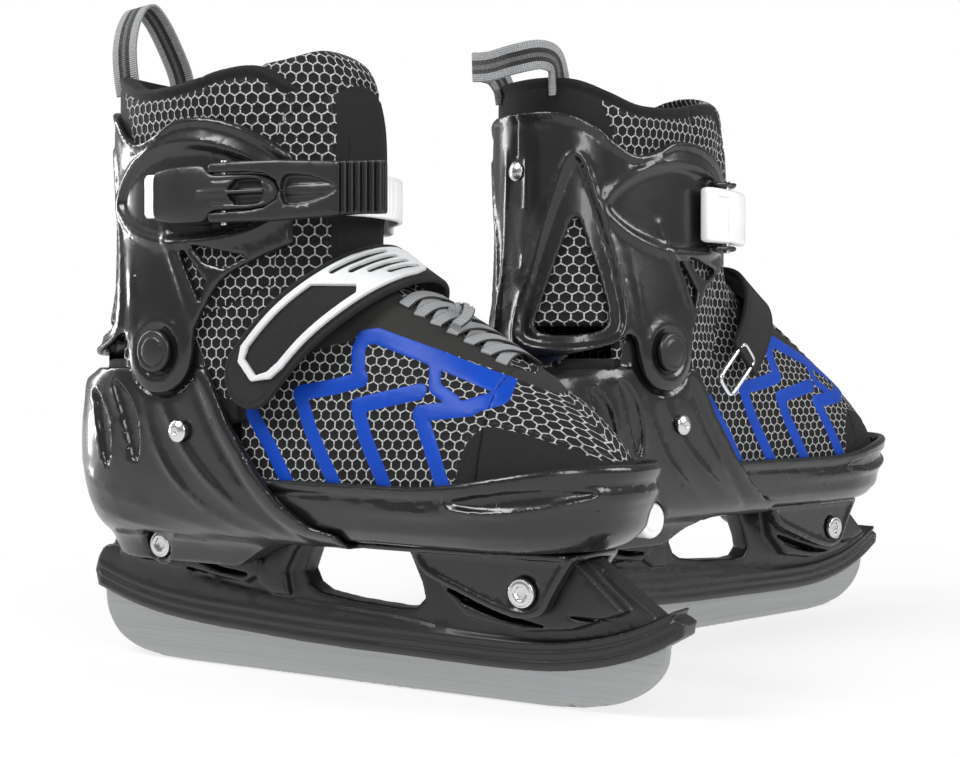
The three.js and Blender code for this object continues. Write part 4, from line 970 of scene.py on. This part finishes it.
def make_size_button():
    at = SIZE_BUTTON
    g = Grid((at[0] - 11, 18, at[1] - 11), (at[0] + 11, 42, at[1] + 11), 0.5)
    r = off_axis(g, at)
    d = smax(r - 8.6, np.abs(g.y - 29.6) - 9.6 + 0.9 * (r / 8.6) ** 2, 1.6)
    d = d + 0.5 * bump(r - 5.6, 0.7)
    v, f = g.mesh(d, 0.03)
    piece("size_button_moulded", "button", v, f, WHITE, ["size_button"])


def make_strap_ring():
    """A rounded rectangle of wire, 28 by 15 mm outside."""
    lean = math.radians(47)
    ring = []
    for a in np.linspace(0, 2 * math.pi, 28, endpoint=False):
        c, s = math.cos(a), math.sin(a)
        z = math.copysign(abs(c) ** 0.35, c) * 12.8
        x = math.copysign(abs(s) ** 0.35, s) * 6.3
        ring.append((131.5 + x * math.cos(lean) + z * math.sin(lean), 44.4,
                     133 - x * math.sin(lean) + z * math.cos(lean)))
    v, f, _ = tube(ring, 1.2, 12, True, 130)
    piece("strap_ring_wire", "toe", v, f, CHROME, ["strap_ring"])


# ------------------------------------------------------------------ lever buckle, its strap and anchor
BUCKLE_TURN = math.radians(12)
LEVER_PIN = (36, -6.6)                      # in the buckle's own frame
STRAP_PIN = (123, 45.1)                     # in the skate's frame


def buckle_to_skate(x, y, z):
    """From the buckle's own frame (along it +X, outwards -Y) to the skate's."""
    c, s = math.cos(BUCKLE_TURN), math.sin(BUCKLE_TURN)
    return 82 + x * c - y * s, -48.2 + x * s + y * c, z + BUCKLE_Z


def from_buckle(v):
    return np.stack(buckle_to_skate(v[:, 0], v[:, 1], v[:, 2]), 1)


LADDER = [from_buckle(np.array([[x, -2.3, 0.0]]))[0] for x in (-4, 16, 40, 60)] + [(152, -32, 206),
                                                                                   (158.5, -24.5, 206),
                                                                                   (162.6, -13, 206),
                                                                                   (163.6, 0, 206),
                                                                                   (161.6, 13, 206),
                                                                                   (156.4, 24, 206),
                                                                                   (149, 32, 206),
                                                                                   (139, 39.2, 206),
                                                                                   (127, 43.6, 206)]


def make_buckle_base():
    g = Grid((-6, -13.5, -14), (66, 10, 14), 0.5)
    outline = spline([(0.2, 0), (0.2, -9.2), (4, -10.8), (18, -12), (27, -11.4), (31, -8), (40, -7.6),
                      (52, -7.2), (59, -5), (61.5, 0), (59, 5), (52, 7.2), (40, 7.6), (31, 8), (27, 11.4),
                      (18, 12), (4, 10.8), (0.2, 9.2)], 90, True)
    top = curve([(-3, -3.6), (3, -5.2), (9, -7), (18, -8.8), (32, -9.6), (50, -9.5), (57, -8.3),
                 (62, -5.6)], g.x)
    d = smax(side_area(g, outline), top - g.y + 0.006 * g.z**2, 2.0)
    d = smax(d, -ankle_d(Points(*buckle_to_skate(g.x, g.y, g.z)), 3.55), 0.3)
    oval = spline([(38.5, 0), (41, 4), (47, 5.2), (53, 4), (55, 0), (53, -4), (47, -5.2), (41, -4)], 60,
                  True)
    od = side_area(g, oval)
    d = smax(d, -np.maximum(od, np.abs(g.y + 9) - 3.4), 0.9)
    rib = smax(np.maximum(np.abs(g.z) - 0.8, np.abs(g.x - 40) - 15.5), np.abs(g.y + 7.6) - 2.3, 0.6)
    d = smin(d, rib, 0.6)
    d = d + 0.45 * bump(side_area(g, outline) + 2.6, 0.9) * (g.x > 31)
    d = np.maximum(d, -np.maximum(np.abs(g.z) - 9.6, np.abs(g.y + 2.3) - 1.35))
    v, f = g.mesh(d, 0.03)
    piece("buckle_base_moulded", "cuff", from_buckle(v), f, BUCKLE, ["buckle_base"])
    v, f, _ = tube([(*LEVER_PIN, z) for z in (-13.3, 0, 13.3)], 1.3, 20)
    piece("lever_pin_turned", "cuff", from_buckle(v), f, FASTENER, ["lever_pin"])


def make_lever():
    g = Grid((26, -14, -14), (111, 2, 14), 0.5)
    plan = [(27, -6.2), (30, -9.4), (45, -11.2), (62, -11), (85, -8.8), (106, -6.4), (108.5, -4.2),
            (107, -1.4), (100, -1.2), (85, -3.4), (70, -4.8), (62, -5.2), (40, -5.2), (30, -4.6)]
    d = plan_area(g, plan)
    side = [(27, -10), (31, -12.4), (60, -12.4), (80, -11.4), (96, -10.4), (108, -10.6), (108, 10.6),
            (96, 10.4), (80, 11.4), (60, 12.4), (31, 12.4), (27, 10)]
    d = smax(d, side_area(g, side), 1.6)
    throat = [(20, -8.4), (30, -8.4), (36, -8.2), (48, -8), (56, -7), (61.5, -4), (63, 0), (61.5, 4),
              (56, 7), (48, 8), (36, 8.2), (30, 8.4), (20, 8.4)]
    d = smax(d, -side_area(g, throat), 0.9)
    tear = spline([(63.5, 0), (65, 5.4), (72, 5.9), (80, 4.0), (87.5, 0), (80, -4.0), (72, -5.9),
                   (65, -5.4)], 60, True)
    td = side_area(g, tear)
    deep = curve([(60, -6.6), (75, -7.2), (90, -7.9)], g.x)
    d = smax(d, -smax(td, g.y - deep, 0.6), 0.9)
    d = smin(d, smax(np.maximum(np.abs(g.z) - 2.0, td + 0.5), np.abs(g.y - deep - 0.3) - 1.0, 0.6), 0.5)
    top = curve([(85, -8.8), (106, -6.2)], g.x)
    comb = smax(np.maximum(np.abs(g.z) - 10.6, np.abs(g.x - 98.4) - 9.8), np.abs(g.y - top + 0.4) - 1.9,
                0.8)
    teeth = np.abs(np.mod(g.x - 89.0, 2.9) - 1.45) - 0.78
    comb = smax(comb, -np.maximum(teeth, g.y - top + 0.6), 0.4)
    d = smin(d, comb, 0.5)
    gaps = np.maximum(np.abs(g.x - 98.4) - 9.4, np.maximum(g.y - top + 0.1, np.abs(g.z) - 9.6))
    d = np.maximum(d, -np.maximum(teeth, gaps))
    d = np.maximum(d, 1.4 - np.hypot(g.x - LEVER_PIN[0], g.y - LEVER_PIN[1]))
    v, f = g.mesh(d, 0.03)
    piece("buckle_lever_moulded", "lever", from_buckle(v), f, BUCKLE, ["buckle_lever"])


def make_ladder_strap():
    route = Route(LADDER, lambda t: (0, 0, 1), (110, 0, BUCKLE_Z))
    end = route.length

    def teeth_relief(d, x, y):
        comb = 0.35 * (np.mod(x, 2.6) < 1.1) * (np.abs(y) < 7.4) * (x > 70) * (x < end - 26)
        return comb + 0.2 * bump(d + 1.6, 0.6)

    strap = tape(route, [(0.4, -7.4), (1.6, -9.2), (end, -9.3), (end, 9.3), (1.6, 9.2), (0.4, 7.4)], 2, 0.5,
                 teeth_relief, 0.6)
    g = Grid((100, 33, 190), (147, 52, 222), 0.55)
    plan = spline([(104, 44.2), (104.5, 48), (109, 49.6), (117, 49.2), (131, 46), (142, 41.2),
                   (144.6, 38.2), (141, 36.6), (132, 39.4), (122, 42.2), (112, 44.1)], 60, True)
    d = plan_area(g, plan)
    anchor = [(102.4, 192.6), (144.8, 192.6), (144.8, 219.4), (102.4, 219.4)]
    d = smax(d, side_area(g, anchor) + 0.2, 3.4)
    d = np.maximum(d, 1.65 - np.hypot(g.x - STRAP_PIN[0], g.y - STRAP_PIN[1]))
    d = smax(d, -smax(np.maximum(np.abs(g.x - 116) - 4.5, np.abs(g.z - 206) - 9), 47.6 - g.y, 0.4), 0.5)
    v, f = g.mesh(d, 0.03)
    v, f, _ = join([(*strap[:2], {}), (v, f, {})])
    piece("ladder_strap_moulded", "cuff", v, f, WHITE, ["ladder_strap"])
    v, f, _ = tube([(*STRAP_PIN, z) for z in (188.7, 206, 223.3)], 1.5, 20)
    piece("strap_anchor_pin_turned", "cuff", v, f, FASTENER, ["strap_anchor_pin"])


# ------------------------------------------------------------------ instep strap and its badge
STRAP_LINE = [(122, -42.2, 121), (133, -42.6, 134), (150, -39.5, 152), (166, -28, 166.5),
              (175.5, -12, 174.6), (178, 2, 176.4), (174, 17, 173.6), (163, 31, 164), (149, 39.8, 150.5),
              (137, 43.2, 138)]


def make_strap():
    route = Route(STRAP_LINE, lambda t: (0.66, 0, -0.75 + 0.35 * math.sin(math.pi * t)))
    end = route.length
    outline = [(14 - 15.5 * math.cos(a), -14.3 * math.sin(a)) for a in np.linspace(-math.pi / 2,
                                                                                   math.pi / 2, 20)]
    outline += [(end * 0.6, -14.5), (end * 0.85, -13), (end + 1, -11.6), (end + 1, 11.6), (end * 0.85, 13),
                (end * 0.6, 14.5)]

    def seam(d, x, y):
        row = (np.mod(x + y, 3.2) > 0.9)
        return 0.5 * bump(d + 2.4, 0.8) * (0.45 + 0.55 * row) + 0.12 * bump(d + 4.6, 0.5)

    v, f, a = tape(route, outline, 2.8, 0.55, seam, 1.3)
    piece("instep_strap_sewn", "toe", v, f, STRAP, ["instep_strap"])
    s0, s1 = 12.0, 103.0
    frame_line = [(s0, 3), (s0 + 1.5, -7.5), (s0 + 7, -10.8), (s1 - 26, -10.8), (s1 - 4, -9), (s1, -5.5),
                  (s1 - 3, 8.5), (s1 - 9, 10.8), (s0 + 14, 10.8), (s0 + 7, 9.4)]
    hollow = [(s0 + 3.2, 3), (s0 + 4.4, -6), (s0 + 9, -7.8), (s0 + 44, -7.8), (s0 + 58, 4.4),
              (s0 + 56, 7.6), (s0 + 15, 7.6), (s0 + 8.5, 6.4)]
    g = Grid((s0 - 2, -13, 1.2), (s1 + 2, 13, 5.4), 0.5)
    d = smax(plan_area(g, frame_line), np.abs(g.z - 3.0) - 1.3, 0.7)
    d = smax(d, -plan_area(g, hollow), 0.5)
    for k in range(4):
        ld = plan_line(g, [(s1 - 37 + 6.2 * k, -7.6 + 4.3 * k), (s1 - 13 + 2.2 * k, -7.0 + 4.3 * k)])
        d = smax(d, -np.maximum(ld - 1.35, 2.6 - g.z), 0.4)
    v, f = g.mesh(d, 0.02)
    piece("strap_badge_moulded", "toe", route.carry(v), f, RUBBER, ["strap_badge"])


# ------------------------------------------------------------------ laces and pull loops
def vamp_top(x, y):
    """Height of the instep's surface."""
    top = float(curve(INSTEP, x))
    half = float(half_width(np.array(float(x)), np.array(84.0), 7.4))
    return 67 + (top - 67) * max(1 - (abs(y) / half) ** 2.778, 0.02) ** (1 / 2.222)


def make_laces():
    rows = [188, 195.5, 203, 210.5, 218, 225.5, 232]
    parts = []
    for k in range(len(rows) - 1):
        for s in (-1, 1):
            w = 17.5 - 0.6 * k
            a, b = (rows[k], -w * s), (rows[k + 1], w * s)
            lift = 1.5 + (1.3 if s > 0 else 0)
            pts = []
            for t in np.linspace(0, 1, 7):
                x, y = a[0] + (b[0] - a[0]) * t, a[1] + (b[1] - a[1]) * t
                pts.append((x, y, vamp_top(x, y) + 0.5 + lift * math.sin(math.pi * min(max(t, 0.06),
                                                                                       0.94)) ** 0.6))
            route = Route(pts, lambda t: (1, 0, -0.55), (180, 0, 60), 60)
            e = route.length
            parts.append(tape(route, [(0, -2.9), (e, -2.9), (e, 2.9), (0, 2.9)], 1.1, 0.4, None, 0.5))
    for dy, dx in ((-1, 1), (1, -1)):
        pts = [(204, 0, vamp_top(204, 0) + 4.6), (206 + 5 * dx, 5 * dy, vamp_top(206, 5) + 6.2),
               (205 + 9 * dx, 12 * dy, vamp_top(207, 12) + 3.8), (203 + 10 * dx, 17 * dy,
                                                                  vamp_top(206, 17) + 2.6)]
        route = Route(pts, lambda t: (1, 0.2, -0.4), (180, 0, 60), 60)
        e = route.length
        parts.append(tape(route, [(0, -2.6), (e, -2.6), (e, 2.6), (0, 2.6)], 1.2, 0.4, None, 0.5))
    g = Grid((195, -9, vamp_top(204, 0) - 1), (213, 9, vamp_top(204, 0) + 10), 0.45)
    z0 = vamp_top(204, 0) + 4.4
    d = (np.sqrt(((g.x - 204) / 6.2) ** 2 + (g.y / 5.4) ** 2 + ((g.z - z0) / 3.6) ** 2) - 1) * 3.6
    d = d + 0.7 * bump(np.mod(g.x + 0.8 * g.y, 4.6) - 2.3, 0.9)
    v, f = g.mesh(d, 0.02)
    parts.append((v, f, {"along": v[:, 0] + v[:, 1], "across": np.full(len(v), 0.5)}))
    v, f, a = join(parts)
    piece("laces_woven", "toe", v, f, LACE, ["laces"], a)


def make_loop():
    up = [(36, -16.5, 258), (35, -17.5, 268), (33, -16, 280), (30.6, -10.5, 292), (29.4, -4, 299.4),
          (29.6, 0.5, 300.2), (31, 5, 296), (33.4, 12, 284), (36, 17, 270), (37, 17, 258)]
    over = [(37, -17, 258), (35.5, -17.6, 266), (31, -19.5, 272.6), (22, -20, 274), (13.6, -13.6, 272),
            (11, 0, 270.4), (13.6, 13.6, 272), (22, 20, 274), (31, 19.5, 272.6), (35.5, 17.6, 266),
            (37, 17, 258)]
    for side, line, across in (("right", up, lambda t: (1, 0.1, 0.12)),
                               ("left", over, lambda t: (1 - math.sin(math.pi * t) ** 0.8 * 1.15, 0,
                                                         math.sin(math.pi * t) ** 0.8))):
        route = Route(line, across, (40, 0, 262))
        e = route.length
        v, f, a = tape(route, [(0, -6.7), (e, -6.7), (e, 6.7), (0, 6.7)], 1.5, 0.45, None, 0.5)
        piece("pull_loop_woven", "cuff", v, f, LOOP, ["pull_loop"], a, sides=(side,))


# ------------------------------------------------------------------ soft upper
BLUE_LINES = [([(121, 118), (133.8, 101.1), (143, 87)], 3.3), ([(178, 129.3), (166.8, 126.6), (148, 123.4),
                                                                (154.6, 108.6), (161.2, 97.5), (168, 87)],
                                                               3.3),
              ([(206, 124.6), (198.6, 123.1), (177.5, 118.8), (182.5, 106.4), (193.8, 87)], 3.3),
              ([(230, 118.6), (207.8, 116.2), (214.3, 104.1), (222.5, 87)], 3.3),
              ([(176.5, 132), (174.6, 141), (176.4, 146), (182, 146.8), (211.7, 137), (238, 127.2),
                (239.5, 122.5), (229, 119)], 3.2), ([(209.5, 137), (212.6, 126), (222, 121)], 2.4)]
CAP_AREA = [(226.5, 50), (226.7, 89.6), (228, 95), (230.3, 104.5), (234, 109.6), (240, 111.6), (252, 109),
            (262, 105.5), (270, 102), (277, 98), (295, 95), (295, 50)]
STAY_OUT = [(150, 33), (176, 29), (200, 26), (225, 21.5), (240, 16), (250, 8), (252, 0), (250, -8),
            (240, -16), (225, -21.5), (200, -26), (176, -29), (150, -33)]
STAY_IN = [(182, 13), (215, 12), (236, 9), (240, 0), (236, -9), (215, -12), (182, -13), (176, 0)]


def blue_d(y, to_line):
    """Distance to the blue film, which stays off the middle; to_line measures in the side view."""
    nearest = np.minimum.reduce([to_line(line) - half for line, half in BLUE_LINES])
    return np.maximum(nearest, 13.5 - np.abs(y))


def upper_marks(x, y, z):
    """Distances (mm) to the blue film, the smooth cap and the eyestay, on points of the upper."""
    blue = blue_d(y, lambda line: line_d(line, x, z)[0])
    stay = np.maximum(area_d(STAY_OUT, x, y), -area_d(STAY_IN, x, y))
    return blue, area_d(CAP_AREA, x, z), stay


def make_upper():
    for name, node, x0, x1 in (("vamp_sewn", "vamp", 112, 236.4), ("toe_cap_sewn", "toe_cap", 236.4, 287)):
        g = Grid((x0 - 3, -44, 64), (x1 + 3, 44, 180), 1.0)
        shape = vamp_d(g)
        blue = blue_d(g.y, lambda line: side_line(g, line)[0])
        plain = side_area(g, CAP_AREA)
        stay = np.maximum(plan_area(g, STAY_OUT), -plan_area(g, STAY_IN))
        out = shape - 0.7 * step(0.7, -0.5, blue) - 0.5 * step(0.7, -0.7, plain) - 1.0 * step(1.2, -1.2,
                                                                                              stay)
        out = out + 0.45 * bump(plain + 2.2, 0.9) + 0.4 * bump(stay + 2.4, 0.9)
        d = smax(out, -smax(vamp_d(g, 3.4), foot_d(g, 10.7, True), 0.5), 0.5)
        if node == "vamp":
            d = smax(d, side_area(g, [(117, 64), (117, 120), (119, 151), (128, 155.2), (163, 166),
                                      (173, 172), (180, 180), (236.4, 176), (236.4, 64)]), 0.8)
        d = smax(d, np.abs(g.x - (x0 + x1) / 2) - (x1 - x0) / 2, 0.2)
        d = smax(d, foot_d(g, 7.2, True), 0.5)
        v, f = g.mesh(d, 0.02)
        x, y, z = v.T
        b, p, s = upper_marks(x, y, z)
        uv = np.stack([x, z - 0.8 * np.abs(y) + 100, 0 * x], 1)
        piece(name, "toe", v, f, UPPER, [node],
              {"blue": b, "plain": p, "stay": s, "laid": uv, "ux": x})


def make_heel_liner():
    g = Grid((8, -44, 63), (116, 44, 140), 1.2)
    d = smax(foot_d(g, 3.8), -smax(foot_d(g, 9), 67.5 - g.z, 1), 1.4)
    d = smax(d, side_area(g, [(0, 65), (101, 65), (113, 100), (113, 118), (102, 137), (80, 138), (0, 138)]),
             1.8)
    d = d + 0.5 * bump(side_area(g, [(0, 40), (160, 40), (160, 133), (0, 133)]), 1.4)
    v, f = g.mesh(d, 0.05)
    piece("heel_liner_sewn", "shell", v, f, LINING, ["heel_liner"])


COLLAR_TOP = [(140, 252), (126, 260), (110, 259.4), (96, 256.4), (80, 254.5), (66, 255), (52, 260),
              (38, 265.5), (15, 267)]


def make_collar():
    g = Grid((20, -45, 146), (146, 45, 272), 1.0)
    top = spline(COLLAR_TOP, 60)
    td = side_line(g, top)[0]
    out = ankle_d(g, -0.4) - 1.2 * step(234, 246, g.z)
    out = out - 0.7 * bump(td - 1.6, 2.4) + 0.8 * bump(td - 5.2, 1.7)
    seam = side_line(g, spline([(100, 258), (103, 246), (108, 232), (112, 214)], 30))[0]
    out = out + 0.8 * bump(seam, 1.6)
    d = smax(out, -ankle_d(g, -8.4) - 0.5 * step(240, 258, g.z), 3.2)
    side = [(96, 153.5), (141, 172), (142, 250)] + [tuple(p) for p in top] + [(5, 267), (5, 152.5),
                                                                              (66, 152.5)]
    d = smax(d, side_area(g, side), 3.0)
    v, f = g.mesh(d, 0.03)
    x, y, z = v.T
    ang = np.arctan2(y, -(x - 88))
    line = line_d(top, x, z)[0] - 5.4
    rear = np.maximum((x - 52) + 0.35 * (z - 245), 231 - z)
    plain = np.minimum(np.minimum(line, rear), ankle_d(Points(x, y, z), 0) + 3.0)
    uv = np.stack([ang * 52, z, 0 * x], 1)
    piece("ankle_collar_sewn", "cuff", v, f, COLLAR, ["ankle_collar"],
          {"plain": plain, "laid": uv, "ux": ang * 52})


TONGUE_FRONT = [(156, 164), (172, 160.5), (181, 156.5), (190, 156.4), (205, 158), (225, 158.6),
                (245, 156.6), (256, 152.6), (264, 147.6), (270, 141)]


def make_tongue():
    g = Grid((112, -36, 156), (166, 36, 274), 0.9)
    reach = curve(TONGUE_FRONT, g.z) - 116
    q = (g.x - 116) / reach
    side = 31.5 - 2.5 * step(235, 268, g.z)
    out = ellipse_d(np.clip(q, 0, None), g.y / side, reach, side, 2.5)
    tall = 269.5 - 7 * (np.abs(g.y) / 26) ** 2.2
    panel = np.maximum(np.abs(g.y) - 17.5 + 0.05 * (g.z - 215) * (g.z > 215), np.abs(g.z - 216) - 38)
    out = out - 1.0 * step(1.2, -1.6, panel) + 0.6 * bump(panel + 3.4, 1.0)
    out = out - 1.6 * step(248, 259, g.z) + 1.0 * bump(g.z - 254.5 + 0.02 * g.y**2, 2.2)
    d = smax(out, -(out + 7.2), 3.4)
    d = smax(d, 121 - g.x, 1.5)
    d = smax(d, g.z - tall, 3.6)
    d = smax(d, 158 - g.z, 1)
    v, f = g.mesh(d, 0.03)
    x, y, z = v.T
    plain = np.maximum(np.abs(y) - 18.5 + 0.05 * (z - 215) * (z > 215), z - 253.5 + 0.02 * y**2)
    ang = np.arctan2(y, x - 116)
    piece("tongue_sewn", "cuff", v, f, COLLAR, ["tongue"],
          {"plain": plain, "laid": np.stack([ang * 38, z, 0 * x], 1), "ux": z})


def make_gusset():
    """Stretch sock that closes the gap between the upper and the cuff."""
    g = Grid((46, -44, 100), (184, 44, 200), 1.2)
    leg = smax(ankle_d(g, -1.6), g.z - 196, 1)
    foot = smax(vamp_d(g, 0.6), np.maximum(100 - g.x, g.z - 176), 1)
    low = smax(foot_d(g, 4.6), np.maximum(g.z - 145, g.x - 118), 1)
    out = smin(smin(leg, foot, 5), low, 2)
    inner_leg = np.maximum(ankle_d(g, -4.6), 60 - g.z)
    inner_foot = smax(vamp_d(g, 4.0), 104 - g.x, 1)
    d = smax(out, -smin(inner_leg, inner_foot, 4), 0.8)
    cut = [(52, 132), (90, 122), (112, 110), (124, 112), (172, 150), (176, 166), (170, 176), (150, 186),
           (120, 190), (60, 190), (52, 150)]
    d = smax(d, side_area(g, cut), 1.5)
    v, f = g.mesh(d, 0.05)
    x, y, z = v.T
    plain = line_d([(90, 124), (112, 112), (124, 114), (172, 152)], x, z)[0] - 8
    piece("gusset_sewn", "shell", v, f, COLLAR,
          attrs={"plain": plain, "laid": np.stack([x * 1.1, z, 0 * x], 1), "ux": x})


for make in (make_blade, make_holder, make_heel_shell, make_toe_shell, make_cuff,
             make_bolts, make_side_fasteners, make_back_rivet, make_size_button, make_strap_ring,
             make_buckle_base, make_lever, make_ladder_strap, make_strap, make_laces, make_loop,
             make_upper, make_heel_liner, make_collar, make_tongue, make_gusset):
    make()


# ------------------------------------------------------------------ stage, light and camera
FLOOR_HALF, FLOOR_Z = 8, -0.0006            # metres; just under the blades
BACKGROUND_SEEN, BACKGROUND_LIGHT = 1.0, 0.28
AIM = (0.0, -0.06, 0.13)
LENS, SENSOR = 59.83, 36
CAMERA_AT = (555.28, -551.55, 134.96)       # in the right skate's own frame
CAMERA_TOWARDS = (-0.52679, 0.85005, -0.00832)


def link(name, data):
    ob = bpy.data.objects.new(name, data)
    bpy.context.scene.collection.objects.link(ob)
    return ob


def look(ob, direction):
    ob.rotation_euler = Vector(direction).to_track_quat("-Z", "Y").to_euler()


def area_light(name, at, size, power, size_y=None):
    data = bpy.data.lights.new(name, "AREA")
    data.energy, data.size = power, size
    if size_y:
        data.shape, data.size_y = "RECTANGLE", size_y
    ob = link(name, data)
    ob.location = at
    look(ob, Vector(AIM) - Vector(at))


def studio_floor_material():
    """White, and partly its own light, the more so far from the skates."""
    m = new_material("studio white", (0.9, 0.9, 0.9), 0.7)
    n = Nodes(m)
    at = n.add("ShaderNodeTexCoord").outputs["Object"]
    far = n.math("MULTIPLY", n.math("SUBTRACT", n.vec("LENGTH", at), 0.12), 2.6, clamp=True)
    n.out(Roughness=n.math("MULTIPLY_ADD", n.noise(at, 3.0), 0.05, 0.65))
    both = n.add("ShaderNodeMixShader")
    n.put(both.inputs[0], n.math("MULTIPLY_ADD", far, 0.3, 0.7))
    n.put(both.inputs[1], n.b.outputs[0])
    n.put(both.inputs[2], n.add("ShaderNodeEmission").outputs[0])
    output = next(q for q in m.node_tree.nodes if q.type == "OUTPUT_MATERIAL")
    n.put(output.inputs[0], both.outputs[0])
    return m


def make_floor():
    me = bpy.data.meshes.new("floor")
    corners = [(-1, -1), (1, -1), (1, 1), (-1, 1)]
    me.from_pydata([(FLOOR_HALF * x, FLOOR_HALF * y, FLOOR_Z) for x, y in corners], [], [(0, 1, 2, 3)])
    me.materials.append(studio_floor_material())
    link("floor", me)


def make_world():
    """White to the camera, dimmer as a light."""
    world = bpy.data.worlds.new("studio")
    world.use_nodes = True
    tree = world.node_tree
    background = tree.nodes["Background"]
    background.inputs[0].default_value = (1, 1, 1, 1)
    path = tree.nodes.new("ShaderNodeLightPath")
    strength = tree.nodes.new("ShaderNodeMath")
    strength.operation = "MULTIPLY_ADD"
    strength.inputs[1].default_value = BACKGROUND_SEEN - BACKGROUND_LIGHT
    strength.inputs[2].default_value = BACKGROUND_LIGHT
    tree.links.new(path.outputs["Is Camera Ray"], strength.inputs[0])
    tree.links.new(strength.outputs[0], background.inputs[1])
    bpy.context.scene.world = world
    bpy.context.scene.view_settings.view_transform = "Standard"


def make_camera():
    data = bpy.data.cameras.new("camera")
    data.lens, data.sensor_width = LENS, SENSOR
    data.clip_start, data.clip_end = 0.02, 60
    cam = link("camera", data)
    cam.location = place([CAMERA_AT], "right")[0]
    look(cam, CAMERA_TOWARDS)
    bpy.context.scene.camera = cam


make_floor()
make_world()
area_light("key", (-0.45, -1.1, 1.25), 0.7, 20)
area_light("rim", (1.3, 0.25, 0.9), 0.7, 12)
area_light("side", (-1.35, -0.2, 0.5), 0.25, 10, size_y=1.1)
area_light("front", (0.9, -0.9, 0.75), 0.3, 7, size_y=0.9)
make_camera()

# ------------------------------------------------------------------ end
bpy.context.view_layer.update()
